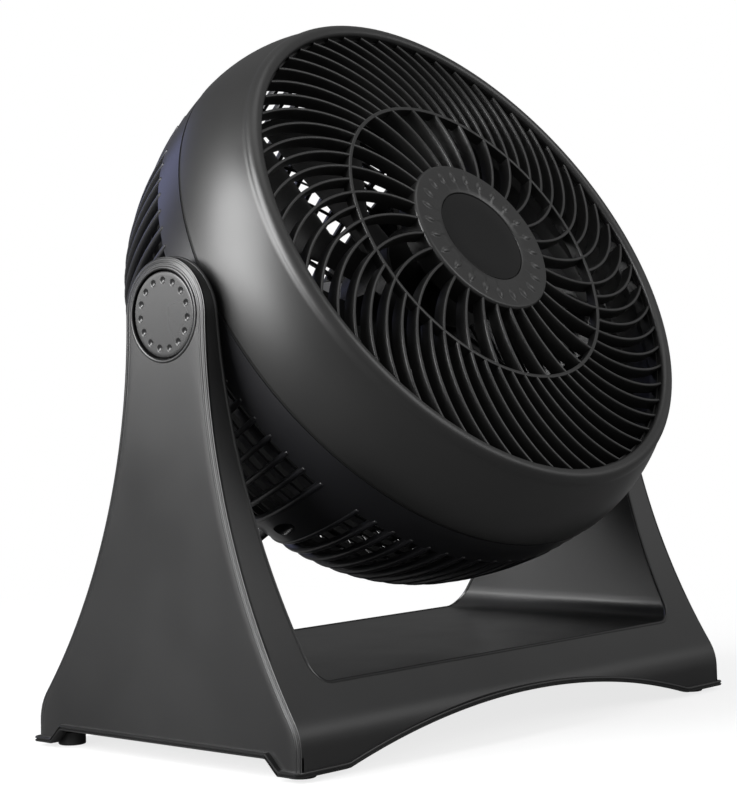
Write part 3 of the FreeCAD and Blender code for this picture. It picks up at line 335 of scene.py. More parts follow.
def leg_top(face_x, inner_radius, flat_x, roll):
    """The rounded top of a leg's side: rings from a circle about the pivot out to the leg's outline.

    The innermost rings step in to a flat disc at flat_x, which makes the cap's recess or the washer's pad.
    The outer side is rolled by its full share at the edge and the inner side by none.
    """
    radius = inner_radius + TOP_RINGS[:, None] * (reach_all - inner_radius)
    y = radius * np.cos(turn_all)
    z = PIVOT[2] + radius * np.sin(turn_all)
    x = face_x(z) - roll * rolled(y, z)
    flat_radius = np.array([BOLT_HOLE, inner_radius])[:, None] + 0 * turn_all
    flat_y = flat_radius * np.cos(turn_all)
    flat_z = PIVOT[2] + flat_radius * np.sin(turn_all)
    flat = np.stack([np.full_like(flat_y, flat_x), flat_y, flat_z], -1)
    return patch(np.concatenate([flat, np.stack([x, y, z], -1)]), close_columns=True)


def leg_rows(turns):
    """Heights of the outline's points from the leg's top down one side to the lower edge."""
    upper = PIVOT[2] + top_reach(turns) * np.sin(turns)
    return np.concatenate([upper, np.linspace(neck_z, BASE_LIFT, LOWER_ROWS)[1:]])


heights_front = leg_rows(around_front)
heights_back = leg_rows(around_back[::-1])
lean = math.atan2(LEG_INNER_TOP - LEG_INNER_DECK, PIVOT[2] - DECK_HEIGHT)
corner_run = DECK_CORNER * math.tan((math.pi / 2 - lean) / 2)
corner_x = LEG_INNER_DECK - corner_run
corner_top = DECK_HEIGHT + corner_run * math.cos(lean)
deck_shares = np.linspace(1, 0, DECK_POINTS)[1:]


def window_line(heights):
    """The window's edge in the front view: down the leg, round the corner, along the deck to the middle."""
    on_leg = heights[heights > corner_top]
    count = len(heights) - len(on_leg)
    turn = (math.pi / 2 - lean) * np.linspace(0, 1, count + 1)[1:] + lean
    leg = np.stack([leg_inner(on_leg), on_leg], -1)
    round_x = corner_x + DECK_CORNER * np.cos(turn)
    round_z = DECK_HEIGHT + DECK_CORNER - DECK_CORNER * np.sin(turn)
    corner = np.stack([round_x, round_z], -1)
    deck = np.stack([corner_x * deck_shares, np.full_like(deck_shares, DECK_HEIGHT)], -1)
    return np.concatenate([leg, corner, deck])


def foot_line(heights):
    """The outer edge in the front view: down the leg's outer face and along the arch to the middle."""
    leg = np.stack([leg_outer(heights) - ROLL_DROP, heights], -1)
    bottom = leg[-1, 0] * deck_shares
    return np.concatenate([leg, np.stack([bottom, arch(bottom)], -1)])


def bent(line, side):
    """Points of the front view set at the depth of the bell, on the front (-1) or the back (+1)."""
    return np.stack([line[..., 0], bell(line[..., 1], side), line[..., 1]], -1)


def base_front(heights, side):
    """The front or back sheet: straight lines from the window's edge to the outer edge, bent to the bell."""
    window = window_line(heights)
    foot = foot_line(heights)
    share = eased(np.linalg.norm(foot - window, axis=-1))[..., None]
    return patch(bent(window[:, None] + share * (foot - window)[:, None], side))


def base_window():
    """The window's wall from the front edge to the back edge, below the leg's rounded top."""
    front = bent(window_line(heights_front)[TOP_POINTS - 1:], -1)
    back = bent(window_line(heights_back)[TOP_POINTS - 1:], 1)
    return patch(front[:, None] + neck_shares[:, None] * (back - front)[:, None])


def base_side():
    """The outer wall of a leg below its rounded top, down to the stepped lower edge."""
    foot_y = bell(BASE_LIFT, -1) + neck_shares * (bell(BASE_LIFT, 1) - bell(BASE_LIFT, -1))
    foot_z = side_edge(foot_y)
    down = np.linspace(0, 1, LOWER_ROWS)[:, None]
    z = neck_z + down * (foot_z - neck_z)
    front = bell(z, -1)
    y = front + neck_shares * (bell(z, 1) - front)
    return patch(np.stack([leg_outer(z) - rolled(y, z), y, z], -1))


def mirrored(made):
    """A patch with its mirror image across the middle of the base."""
    points, faces = made
    return joined([made, (points * (-1, 1, 1), faces[:, ::-1])])


base = welded(
    "base_moulding",
    [
        mirrored(base_front(heights_front, -1)),
        mirrored(base_front(heights_back, 1)),
        mirrored(base_window()),
        mirrored(base_side()),
        mirrored(leg_top(leg_outer, RECESS_RADIUS, RECESS_FLOOR, 1.0)),
        mirrored(leg_top(leg_inner, PAD_RADIUS, PAD_FACE, 0.0)),
    ],
)
settle(base, SHELL, "base", ["base_yoke"])

# The base's trim belongs to the same moulding: two fine beads inside the outer edge of each leg, a round lip
# on the window's edge, a grooved strip along all lower edges and a raised rim round each cap's recess.
BEAD_PITCH = 2.1
BEAD_HALF = 1.05
BEAD_PROUD = 0.5
BEAD_ROOT = 1.2
BEAD_SUNK = 0.3
BEAD_POINTS = 9
LIP_RADIUS = 1.2
LIP_SUNK = 0.6
STRIP_CORNER = 1.5
STRIP_POINTS = {"arch": 60, "corner": 7, "side": 70}
STRIP_OUT = np.array([-1.2, 0.55, 0.88, 1.0, 1.0, 0.74, 0.74, 1.0, 1.0, 0.88, 0.55, -1.2])
STRIP_UP = np.array([0.0, 0.0, 0.15, 0.5, 1.0, 1.35, 1.65, 2.0, 2.5, 2.85, 3.0, 3.0])
RIM_HALF = 0.9
RIM_PROUD = 0.55


def unit(vectors):
    """Each vector divided by its own length."""
    return vectors / np.linalg.norm(vectors, axis=-1, keepdims=True)


def full_turn(steps):
    """The angles of one full turn in even steps."""
    return np.linspace(0, 2 * math.pi, steps, endpoint=False)


def quarter_turn(steps):
    """The angles of a quarter turn in even steps, with both ends."""
    return np.linspace(0, math.pi / 2, steps)


def double_bead(path, across):
    """Two round beads side by side along a path: one beside the edge and one a pitch further in.

    The section lies between a fixed direction across and the path's own normal, which points inwards, and
    it falls with the leg's rolled edge.
    """
    normal = unit(np.cross(unit(np.gradient(path, axis=0)), across))
    swing = np.linspace(-1, 1, BEAD_POINTS)
    rise = BEAD_PROUD * (1 - swing**2)
    inward = BEAD_HALF + np.concatenate([BEAD_HALF * swing, BEAD_PITCH + BEAD_HALF * swing])
    inward = np.concatenate([inward[:1], inward, inward[-1:]])
    fall = ROLL_DROP * (1 - np.clip(inward, 0, None) / ROLL_WIDTH) ** 2
    proud = np.concatenate([[-BEAD_ROOT], rise, rise, [-BEAD_ROOT]]) - fall
    section = inward[:, None] * normal[:, None] + proud[:, None] * np.asarray(across, float)
    return patch(path[:, None] + section, close_columns=True)


def leg_edge():
    """The outer edge of the right leg from the front corner over the top to the back corner."""
    front = heights_front[::-1]
    back = heights_back[1:]
    z = np.concatenate([front, back])
    y = np.concatenate([bell(front, -1), bell(back, 1)])
    return np.stack([leg_outer(z) - BEAD_SUNK, y, z], -1)


def window_lip():
    """The round lip on the window's edge: a small circle carried along the deck's front and over the leg.

    It comes back along the deck's rear, and its middle lies a little inside the moulding.
    """
    front = window_line(heights_front)[::-1]
    back = window_line(heights_back)[1:]
    x, z = np.concatenate([front, back]).T
    side = np.repeat([-1, 1], [len(front), len(back)])
    y = np.where(side < 0, bell(z, -1), bell(z, 1))
    shrink = np.where(z > PIVOT[2], 1 - LIP_SUNK / LEG_TOP_RADIUS, 1)
    y = np.where(z > PIVOT[2], y * shrink, y - side * LIP_SUNK)
    path = np.stack([x, y, PIVOT[2] + (z - PIVOT[2]) * shrink], -1)
    ahead = unit(np.gradient(path, axis=0))
    aside = np.cross(ahead, (0.0, 1.0, 0.0))
    before, after = len(front) - TOP_POINTS + 1, len(front) + TOP_POINTS - 1
    aside[before:after] = (-1.0, 0.0, 0.0)
    aside[after:] *= -1
    aside = unit(aside)
    deep = np.cross(ahead, aside)
    turn = full_turn(steps=10)[:, None]
    ring = LIP_RADIUS * (np.cos(turn) * aside[:, None] + np.sin(turn) * deep[:, None])
    return patch(path[:, None] - LIP_SUNK * aside[:, None] + ring, close_columns=True)


def base_flange():
    """The lower strip: a grooved section that follows the arch, the corner and the stepped side all round."""
    half = LEG_FOOT_HALF
    front = float(bell(BASE_LIFT, -1))
    x = np.linspace(0, half - STRIP_CORNER, STRIP_POINTS["arch"])
    turn = quarter_turn(STRIP_POINTS["corner"])[1:-1]
    y = np.linspace(front + STRIP_CORNER, BASE_MIDDLE, STRIP_POINTS["side"])
    corner_x = half - STRIP_CORNER + STRIP_CORNER * np.sin(turn)
    corner_y = front + STRIP_CORNER - STRIP_CORNER * np.cos(turn)
    px = np.concatenate([x, corner_x, np.full_like(y, half)])
    py = np.concatenate([np.full_like(x, front), corner_y, y])
    pz = np.concatenate([arch(x), np.full_like(turn, BASE_LIFT), side_edge(y)])
    side = BASE_HALF_WIDTH - half
    proud = BASE_HALF_DEPTH - SKIRT_HALF
    ox = np.concatenate([0 * x, side * np.sin(turn), np.full_like(y, side)])
    oy = np.concatenate([np.full_like(x, -proud), -proud * np.cos(turn), 0 * y])
    strip_x = px[:, None] + ox[:, None] * STRIP_OUT
    strip_y = py[:, None] + oy[:, None] * STRIP_OUT
    strip_z = pz[:, None] + STRIP_UP
    quarter = patch(np.stack([strip_x, strip_y, strip_z], -1), close_columns=True)
    flipped = (quarter[0] * (1, -1, 1) + (0, 2 * BASE_MIDDLE, 0), quarter[1][:, ::-1])
    return mirrored(joined([quarter, flipped]))


def recess_rim():
    """The raised rim round the cap's recess: a small flattened circle carried round the pivot."""
    turn = full_turn(steps=96)[:, None]
    section = full_turn(steps=12)
    radius = RECESS_RADIUS + RIM_HALF + RIM_HALF * np.cos(section)
    z = PIVOT[2] + radius * np.sin(turn)
    x = leg_outer(z) + RIM_PROUD * np.sin(section)
    return patch(np.stack([x, radius * np.cos(turn), z], -1), close_rows=True, close_columns=True)


base_trim = welded(
    "base_beads",
    [
        mirrored(double_bead(leg_edge(), (1.0, 0.0, 0.0))),
        mirrored(window_lip()),
        base_flange(),
        mirrored(recess_rim()),
    ],
)
settle(base_trim, SHELL, "base")

# Four soft rubber feet sit in the corners of the base, each held by one screw from below.
# They are turned shapes with a rounded sole edge and a sunk hole for the screw head.
FOOT_RADIUS = 7.5
FOOT_HEIGHT = 7.4
FOOT_X = 168.5
FOOT_Y = 86.5
FOOT_EDGE = 0.9
FOOT_HOLE = 4.2
FOOT_SINK = 4.6
COPY_WELD = 0.001
EASE_MOST = 0.48


def wrapped(line, turn):
    """Pairs of radius and axis place, each set at its own angle, as points: x, y and axis place."""
    radius, along = line[..., 0], line[..., 1]
    return np.stack([radius * np.cos(turn), radius * np.sin(turn), along + 0 * turn], -1)


def turned(profile, steps):
    """Pairs of radius and axis place carried right round the axis in even steps."""
    return wrapped(np.asarray(profile, float), full_turn(steps)[:, None])


def rounded(corners, radius, steps=5):
    """An open outline with its inner corners eased by a parabola that starts a set distance from each."""
    corners = np.asarray(corners, float)
    eased_line = [corners[:1]]
    share = np.linspace(0, 1, steps)[:, None]
    for before, here, after in zip(corners[:-2], corners[1:-1], corners[2:]):
        back, ahead = before - here, after - here
        start = here + back * min(radius / np.linalg.norm(back), EASE_MOST)
        end = here + ahead * min(radius / np.linalg.norm(ahead), EASE_MOST)
        eased_line.append((1 - share) ** 2 * start + 2 * share * (1 - share) * here + share**2 * end)
    return np.concatenate(eased_line + [corners[-1:]])


foot_outline = rounded(
    [
        (0.0, FOOT_SINK),
        (FOOT_HOLE, FOOT_SINK),
        (FOOT_HOLE, 0.0),
        (FOOT_RADIUS, 0.0),
        (FOOT_RADIUS, FOOT_HEIGHT),
        (0.0, FOOT_HEIGHT),
    ],
    FOOT_EDGE,
)
foot_shape = turned(foot_outline, steps=40)
foot_places = [(x, BASE_MIDDLE + y, 0) for x in (-FOOT_X, FOOT_X) for y in (-FOOT_Y, FOOT_Y)]
feet = welded("soft_feet", [patch(foot_shape + place, close_rows=True) for place in foot_places])
RUBBER = moulded("foot_rubber", (0.018, 0.018, 0.018), (0.026, 0.026, 0.026), 0.7, 0.85, 0.00005)
settle(feet, RUBBER, "base", ["rubber_feet"])


def smooth_copy(node, finish, body, crease=30.0):
    """A node's own shape with its loose triangles merged, so that its round faces shade smoothly."""
    mesh = frame["nodes"][node].data.copy()
    mesh.materials.clear()
    shaped = bmesh.new()
    shaped.from_mesh(mesh)
    bmesh.ops.remove_doubles(shaped, verts=shaped.verts, dist=COPY_WELD * MM)
    shaped.to_mesh(mesh)
    shaped.free()
    if "custom_normal" in mesh.attributes:
        mesh.attributes.remove(mesh.attributes["custom_normal"])
    return settle(placed("fine_" + node, mesh), finish, body, [node], crease)


SCREW = moulded("screw_zinc", (0.42, 0.42, 0.43), (0.55, 0.55, 0.55), 0.28, 0.4, 0.00002, metal=1.0)
smooth_copy("foot_screws", SCREW, "base")

# Each pivot cap is a shallow moulded cup pressed into the leg's recess, with a ring of round dimples.
# Behind it lie the pivot bolt and spring washer, and a white friction washer between leg and head.
CAP_RADIUS = 22.3
CAP_FACE = 176.7
CAP_DIMPLES = 15
DIMPLE_CIRCLE = 17.6
DIMPLE_RADIUS = 1.9
DIMPLE_DEPTH = 0.95
DIMPLE_EASE = 1.2
DIMPLE_SPAN = 1.3
DIMPLE_ROWS = 31
DIMPLE_COLUMNS = 40
CAP_EDGE = 0.9
CAP_INNER_RINGS = (0.01, 6.0, 12.0)


def cap_face():
    """The cap's face and rim: rings about the pivot, sunk at each dimple by a smooth round hollow."""
    fine = DIMPLE_CIRCLE + DIMPLE_RADIUS * np.linspace(-DIMPLE_SPAN, DIMPLE_SPAN, DIMPLE_ROWS)
    edge = quarter_turn(steps=6)
    rim = CAP_RADIUS - CAP_EDGE + CAP_EDGE * np.sin(edge)
    radius = np.concatenate([CAP_INNER_RINGS, fine, rim, [CAP_RADIUS]])
    drop = CAP_EDGE * (np.cos(edge) - 1)
    flat = np.zeros(len(CAP_INNER_RINGS) + len(fine))
    height = np.concatenate([flat, drop, [RECESS_FLOOR - CAP_FACE]])
    turn = full_turn(CAP_DIMPLES * DIMPLE_COLUMNS)[:, None]
    pitch = 2 * math.pi / CAP_DIMPLES
    off = (turn + pitch / 2) % pitch - pitch / 2
    away = np.hypot(radius * np.cos(off) - DIMPLE_CIRCLE, radius * np.sin(off)) / DIMPLE_RADIUS
    hollow = DIMPLE_DEPTH * np.clip(1 - away**2, 0, None) ** DIMPLE_EASE
    x = CAP_FACE + height - hollow
    return patch(np.stack([x, radius * np.sin(turn), PIVOT[2] + radius * np.cos(turn)], -1), close_rows=True)


CAP = moulded("cap_satin", (0.012, 0.012, 0.0122), (0.016, 0.016, 0.0162), 0.26, 0.33, 0.00002)
for side, mirror in (("right", 1), ("left", -1)):
    points, faces = cap_face()
    cap = welded(side + "_cap", [(points * (mirror, 1, 1), faces)])
    settle(cap, CAP, "base", [side + "_pivot_cap"], crease=50.0)
WASHER = moulded("washer_nylon", (0.6, 0.6, 0.57), (0.68, 0.68, 0.65), 0.4, 0.5, 0.00001)
for side in ("left", "right"):
    smooth_copy(side + "_friction_washer", WASHER, "base")
    smooth_copy(side + "_spring_washer", SCREW, "head")
    smooth_copy(side + "_pivot_bolt", SCREW, "head")

# The front cowl is a deep barrel-shaped ring in the same satin plastic, with a rounded lip at the mouth.
# Behind the seam a spigot slides into the rear shell; the four posts that take the shell screws are built
# with the rear shell's screw panels.
HEAD_FORWARD = np.array(JOINTS["fan_spin"]["axis"])
HEAD_UP = np.array([0.0, HEAD_FORWARD[2], -HEAD_FORWARD[1]])
SEAM_AT = 22.2
COWL_REAR_RADIUS = 163.6
COWL_MID = (160.6, 46.0)
COWL_FRONT = (152.2, 66.0)
LIP_CREST = (147.0, 72.0)
MOUTH = (143.6, 69.0)
LIP_BACK_AT = 66.5
COWL_WALL = 2.5
SPIGOT_OUTER = 160.1
SPIGOT_INNER = 157.9
SPIGOT_END = 15.2
SEAM_ROUND = 0.9
SEAM_EASE = 2.2
MOUTH_STEP = 0.4
COWL_TAPER = 6.6
SPIGOT_ROOT = 2.2
COWL_EDGE = 0.8


def at_head(points):
    """Points given as x, up and along the head's axis, tilted with the head and set on its pivot."""
    points = np.asarray(points, float)
    tilted = points[..., 1:2] * HEAD_UP + points[..., 2:3] * HEAD_FORWARD
    return PIVOT + tilted + points[..., :1] * (1.0, 0.0, 0.0)


def head_ring(outline, steps, closed=True):
    """An outline of radius and axis place carried round the head's axis; a closed one joins last to first."""
    return patch(at_head(turned(outline, steps)), close_rows=True, close_columns=closed)


def arc_through(first, middle, last, steps):
    """Points of the circle through three points, from the first to the last, evenly by angle."""
    a, b, c = (np.asarray(p, float) for p in (first, middle, last))
    across = np.array([b - a, c - b])
    middles = np.array([(a + b) / 2, (b + c) / 2])
    centre = np.linalg.solve(across, (across * middles).sum(1))
    start, end = a - centre, c - centre
    turn = math.atan2(start[0] * end[1] - start[1] * end[0], start @ end)
    angle = math.atan2(start[1], start[0]) + turn * np.linspace(0, 1, steps)
    return centre + np.linalg.norm(start) * np.stack([np.cos(angle), np.sin(angle)], -1)


def lip_round(start, end, steps):
    """A quarter of an ellipse that leaves the start upright and meets the end level."""
    angle = quarter_turn(steps)
    wide = end[0] + (start[0] - end[0]) * np.cos(angle)
    return np.stack([wide, start[1] + (end[1] - start[1]) * np.sin(angle)], -1)


cowl_rear = (COWL_REAR_RADIUS, SEAM_AT + SEAM_EASE)
cowl_outline = np.concatenate(
    [
        lip_round((COWL_REAR_RADIUS - SEAM_ROUND, SEAM_AT), cowl_rear, steps=7)[:-1],
        arc_through(cowl_rear, COWL_MID, COWL_FRONT, steps=30)[:-1],
        lip_round(COWL_FRONT, LIP_CREST, steps=10)[:-1],
        lip_round(MOUTH, LIP_CREST, steps=8)[::-1],
        rounded(
            [
                (MOUTH[0], MOUTH[1] - MOUTH_STEP),
                (MOUTH[0], LIP_BACK_AT),
                (COWL_FRONT[0] - COWL_WALL, LIP_BACK_AT),
                (COWL_MID[0] - COWL_WALL, COWL_MID[1]),
                (COWL_REAR_RADIUS - COWL_WALL, SEAM_AT + COWL_TAPER),
                (SPIGOT_INNER, SEAM_AT + SPIGOT_ROOT),
                (SPIGOT_INNER, SPIGOT_END),
                (SPIGOT_OUTER, SPIGOT_END),
                (SPIGOT_OUTER, SEAM_AT),
            ],
            COWL_EDGE,
        ),
    ]
)
cowl = welded("cowl_ring", [head_ring(cowl_outline, steps=180)])
COWL_SKIN = moulded("cowl_satin", (0.0085, 0.0085, 0.0085), (0.0115, 0.0115, 0.0113), 0.34, 0.41, 0.00003)
settle(cowl, COWL_SKIN, "head", ["front_cowl"], crease=40.0)

# The rear shell is a smooth band that turns into a dome of fine lengthwise bars tied by deep hoops; the
# hoops' darker, matt copy of the plastic is painted shade.
# Four solid panels carry sunk screw holes, wider ones carry the pivots, and rounded bar tips lap the band.
SHELL_RADIUS = 163.3
BAND_LEAN = math.radians(2.4)
BAND_CURVE = 205.0
SHOULDER_LEAN = math.radians(24.0)
SHOULDER_CURVE = 80.0
SHELL_WALL = 2.5
SLOT_FRONT = 0.0
REAR_LEAN = math.radians(80.0)
PANEL_PITCHES = 2
PIVOT_PANEL_PITCHES = 5
SLOTS_BETWEEN = 19
BAR_PITCH = math.pi / 2 / (SLOTS_BETWEEN + PANEL_PITCHES)
BAR_POINTS = {"band": 8, "tip": 6, "shoulder": 9, "dome": 16, "back": 6}
BAR_DEPTH = 3.4
BAR_HALF_ANGLE = math.radians(0.55)
BAR_PROUD = 0.6
BAR_LAP = 3.0
BAR_ACROSS = np.array([-1.0, -1.0, -0.7, 0.0, 0.7, 1.0, 1.0])
BAR_INSET = np.array([BAR_DEPTH, 0.3, -0.35, -BAR_PROUD, -0.35, 0.3, BAR_DEPTH])
TIP_LEAST = 0.02
TIP_LOW = 0.3
HOOP_FIRST = 6.0
HOOP_PITCH = 11.5
HOOP_THICK = 2.0
HOOP_OUTER = 3.3
HOOP_INNER = 6.5
SCREW_CIRCLE = 146.0
SCREW_BORE = 4.2
SCREW_BORE_END = 10.0
POST_RADIUS = 6.0
POST_BACK = -33.0
POST_FRONT = 15.0
POST_EDGE = 0.6
BLOCK_REACH = math.radians(6.0)
PANEL_COLUMNS = 9
PANEL_ROWS = 16
PIVOT_COLUMNS = 17
BOSS_BORE = 3.1
BOSS_EDGE = 0.8
BOSS_RADIUS = 13.0
BOSS_ROOT = 148.0
BOSS_FACE = 163.9
PANELS = [math.radians(a) for a in (-135.0, -45.0, 45.0, 135.0)]
SHOULDER_AT = SEAM_AT - BAND_CURVE * (math.sin(SHOULDER_LEAN) - math.sin(BAND_LEAN))
SHOULDER_RADIUS = SHELL_RADIUS - BAND_CURVE * (math.cos(BAND_LEAN) - math.cos(SHOULDER_LEAN))


def shell_line(lean, inset=0.0):
    """The rear shell's outline by its lean: two round arcs that join smoothly, moved inwards by an inset."""
    lean = np.asarray(lean, float)
    first = lean <= SHOULDER_LEAN
    curve = np.where(first, BAND_CURVE, SHOULDER_CURVE)
    at = np.where(first, SEAM_AT, SHOULDER_AT) - curve * (
        np.sin(lean) - np.where(first, math.sin(BAND_LEAN), math.sin(SHOULDER_LEAN))
    )
    radius = np.where(first, SHELL_RADIUS, SHOULDER_RADIUS) - curve * (
        np.where(first, math.cos(BAND_LEAN), math.cos(SHOULDER_LEAN)) - np.cos(lean)
    )
    return np.stack([radius - inset * np.cos(lean), at + inset * np.sin(lean)], -1)


def lean_at(at):
    """Lean of the band's arc at a place on the axis."""
    return math.asin(math.sin(BAND_LEAN) + (SEAM_AT - at) / BAND_CURVE)


def lean_of(radius):
    """Lean at which the outline has a radius, on its first arc or else on its second."""
    first = math.cos(BAND_LEAN) - (SHELL_RADIUS - radius) / BAND_CURVE
    second = math.cos(SHOULDER_LEAN) - (SHOULDER_RADIUS - radius) / SHOULDER_CURVE
    on_first = np.arccos(np.clip(first, -1, 1))
    return np.where(on_first <= SHOULDER_LEAN, on_first, np.arccos(np.clip(second, -1, 1)))


slot_lean = lean_at(SLOT_FRONT)
shoulder_leans = np.linspace(slot_lean, SHOULDER_LEAN, BAR_POINTS["shoulder"])
dome_leans = np.linspace(SHOULDER_LEAN, REAR_LEAN, BAR_POINTS["dome"])
bar_leans = np.concatenate([shoulder_leans[:-1], dome_leans])


def band_and_back():
    """The closed band at the front and the closed plate at the back, each carried right round."""
    leans = np.linspace(BAND_LEAN, slot_lean, BAR_POINTS["band"])
    band = np.concatenate([shell_line(leans), shell_line(leans[::-1], SHELL_WALL)])
    back = np.linspace(REAR_LEAN, math.pi / 2, BAR_POINTS["back"])
    back_at = shell_line(math.pi / 2)[1]
    centre = [(0.0, back_at), (0.0, back_at + SHELL_WALL)]
    plate = np.concatenate([shell_line(back), centre, shell_line(back[::-1], SHELL_WALL)])
    return [head_ring(band, steps=180), head_ring(plate, steps=120)]


def round_bars():
    """Every bar: a rounded section, as wide as a fixed angle, carried along the outline to the back.

    The front end lies on the band and shrinks to a rounded tip. The space after every second panel holds a
    pivot, so it has no bars in the middle.
    """
    tip = np.linspace(lean_at(BAR_LAP), slot_lean, BAR_POINTS["tip"])[:-1]
    leans = np.concatenate([tip, bar_leans])
    tip_share = np.clip((leans - leans[0]) / (slot_lean - leans[0]), TIP_LEAST, 1)
    width = np.sqrt(1 - (1 - tip_share) ** 2)[:, None]
    line = np.stack([shell_line(leans, depth) for depth in BAR_INSET], 1)
    low_line = 0.5 * (line + shell_line(leans, SHELL_WALL)[:, None])
    line = np.where(width[..., None] < TIP_LOW, low_line, line)
    step = np.arange(SLOTS_BETWEEN + 1)
    beside = (SLOTS_BETWEEN - PIVOT_PANEL_PITCHES) // 2
    at_pivot = (step > beside) & (step < SLOTS_BETWEEN - beside)
    angles = []
    for number, panel in enumerate(PANELS):
        kept = step[~at_pivot] if number % 2 else step
        angles.extend(panel + BAR_PITCH * (PANEL_PITCHES / 2 + kept))
    turn = BAR_HALF_ANGLE * width * BAR_ACROSS
    return [patch(at_head(wrapped(line, angle + turn)), close_columns=True) for angle in angles]


def screw_panel(panel):
    """A solid panel with a sunk screw hole: plain grids on both sides of a block bent round the hole.

    The hole runs along the head's axis, so on the leaning wall its mouth is a long oval.
    """
    half = BAR_PITCH * PANEL_PITCHES / 2 + BAR_HALF_ANGLE
    mouth = float(lean_of(SCREW_CIRCLE))
    made = []
    turn = panel + np.linspace(-half, half, PANEL_COLUMNS)
    for start, end in ((slot_lean, mouth - BLOCK_REACH), (mouth + BLOCK_REACH, REAR_LEAN)):
        leans = np.linspace(start, end, PANEL_ROWS)[:, None] + 0 * turn
        made += [patch(at_head(wrapped(shell_line(leans, inset), turn))) for inset in (0.0, SHELL_WALL)]
    side = np.linspace(-1, 1, PANEL_COLUMNS)[:-1]
    edge = np.ones(len(side))
    box_turn = np.concatenate([side, edge, -side, -edge])
    box_lean = np.concatenate([-edge, side, edge, -side])
    angle = np.arctan2(box_turn, -box_lean)
    hole_turn = SCREW_BORE * np.sin(angle) / SCREW_CIRCLE
    hole_lean = lean_of(SCREW_CIRCLE + SCREW_BORE * np.cos(angle))
    share = np.linspace(0, 1, 5)[:, None]
    leans = hole_lean + share * (mouth + BLOCK_REACH * box_lean - hole_lean)
    turn = panel + hole_turn + share * (half * box_turn - hole_turn)
    sheet = wrapped(shell_line(leans), turn)
    hole_floor = sheet[:1].copy()
    hole_floor[..., 2] = SCREW_BORE_END
    middle = np.array([SCREW_CIRCLE * math.cos(panel), SCREW_CIRCLE * math.sin(panel), 0.0])
    centre = 0 * hole_floor + middle + (0.0, 0.0, SCREW_BORE_END)
    made.append(patch(at_head(np.concatenate([centre, hole_floor, sheet])), close_columns=True))
    back = [(SCREW_BORE, POST_BACK), (POST_RADIUS, POST_BACK)]
    front = [(POST_RADIUS, POST_FRONT), (0.0, POST_FRONT)]
    post = turned(rounded(back + front, POST_EDGE), steps=24) + middle
    made.append(patch(at_head(post), close_rows=True))
    return made


def pivot_panels():
    """The plain panel round each pivot: the shell's wall over five pitches of the bars."""
    half = BAR_PITCH * PIVOT_PANEL_PITCHES / 2 + BAR_HALF_ANGLE
    turn = np.linspace(-half, half, PIVOT_COLUMNS)
    turn = np.concatenate([turn, turn[::-1]])
    inset = np.repeat([0.0, SHELL_WALL], PIVOT_COLUMNS)
    line = np.stack([shell_line(bar_leans, depth) for depth in inset], 1)
    return [patch(at_head(wrapped(line, side + turn)), close_columns=True) for side in (0.0, math.pi)]


def deep_hoops():
    """The hoops behind the bars: upright strips square to the shell, evenly spaced along its outline."""
    made = []
    lean_now = slot_lean
    step = HOOP_FIRST
    while True:
        curve = BAND_CURVE if lean_now < SHOULDER_LEAN else SHOULDER_CURVE
        lean_now += step / curve
        step = HOOP_PITCH
        if lean_now > REAR_LEAN:
            return made
        half = HOOP_THICK / 2 / curve
        leans = np.array([-half, half, half, -half]) + lean_now
        depths = np.array([HOOP_OUTER, HOOP_OUTER, HOOP_INNER, HOOP_INNER])
        section = np.stack([shell_line(a, d) for a, d in zip(leans, depths)])
        made.append(head_ring(section, steps=144))


def pivot_bosses():
    """The round bosses on both sides that the pivot bolts screw into."""
    corners = [(BOSS_BORE, BOSS_FACE), (BOSS_RADIUS, BOSS_FACE), (BOSS_RADIUS, BOSS_ROOT)]
    across = turned(rounded(corners, BOSS_EDGE), steps=48)[..., ::-1]
    return [mirrored(patch(at_head(across), close_rows=True))]


panels = [piece for panel in PANELS for piece in screw_panel(panel)] + pivot_panels()
rear_solid = welded("rear_band_and_back", band_and_back() + panels + pivot_bosses())
REAR_SKIN = moulded("rear_satin", (0.010, 0.010, 0.0112), (0.013, 0.013, 0.0145), 0.28, 0.35, 0.00003)
settle(rear_solid, REAR_SKIN, "head", ["rear_housing"])
bars = welded("rear_bars", round_bars())
settle(bars, REAR_SKIN, "head", crease=50.0)
hoops = welded("rear_hoops", deep_hoops())
# The hoops get a darker, less glossy copy of the rear shell's plastic: painted shade for the inside of the
# shell.
HOOP_SHADE_SKIN = moulded(
    "hoop_matt_painted_shade", (0.004, 0.004, 0.0042), (0.006, 0.006, 0.0063), 0.42, 0.5, 0.00003, shine=0.12
)
settle(hoops, HOOP_SHADE_SKIN, "head")
smooth_copy("shell_screws", SCREW, "head")

# The front grille is one moulding: swept ribs from the hub to a seat ring behind the cowl's lip.
# Every second rib stops at the thin inner ring, and the ribs' front edges lie on a very flat dome.
GRILLE_DOME = 1085.0
GRILLE_APEX = 78.75
GRILLE_RIBS = 60
RIB_SWEEP = 82.6
RIB_DEPTH = 8.0
RIB_PHASE = math.radians(1.6)
RIB_START = 46.4
RIB_TIP = 143.3
RIB_POINTS = 26
INNER_RING = 89.0
INNER_RING_HALF = 1.1
INNER_RING_DEPTH = 6.0
INNER_RING_EDGE = 0.7
SEAT_INNER = 142.7
SEAT_OUTER = 147.9
SEAT_BACK = 59.9
SEAT_FRONT = 66.4
RIB_ACROSS = np.array([-1.05, -0.9, -0.62, 0.0, 0.62, 0.9, 1.05])
RIB_FALL = np.array([RIB_DEPTH, 0.75, 0.2, 0.0, 0.2, 0.75, RIB_DEPTH])


def dome(radius):
    """Height of the grille's front at a radius: a ball of large radius about the head's axis."""
    return GRILLE_APEX - GRILLE_DOME + np.sqrt(GRILLE_DOME**2 - radius**2)


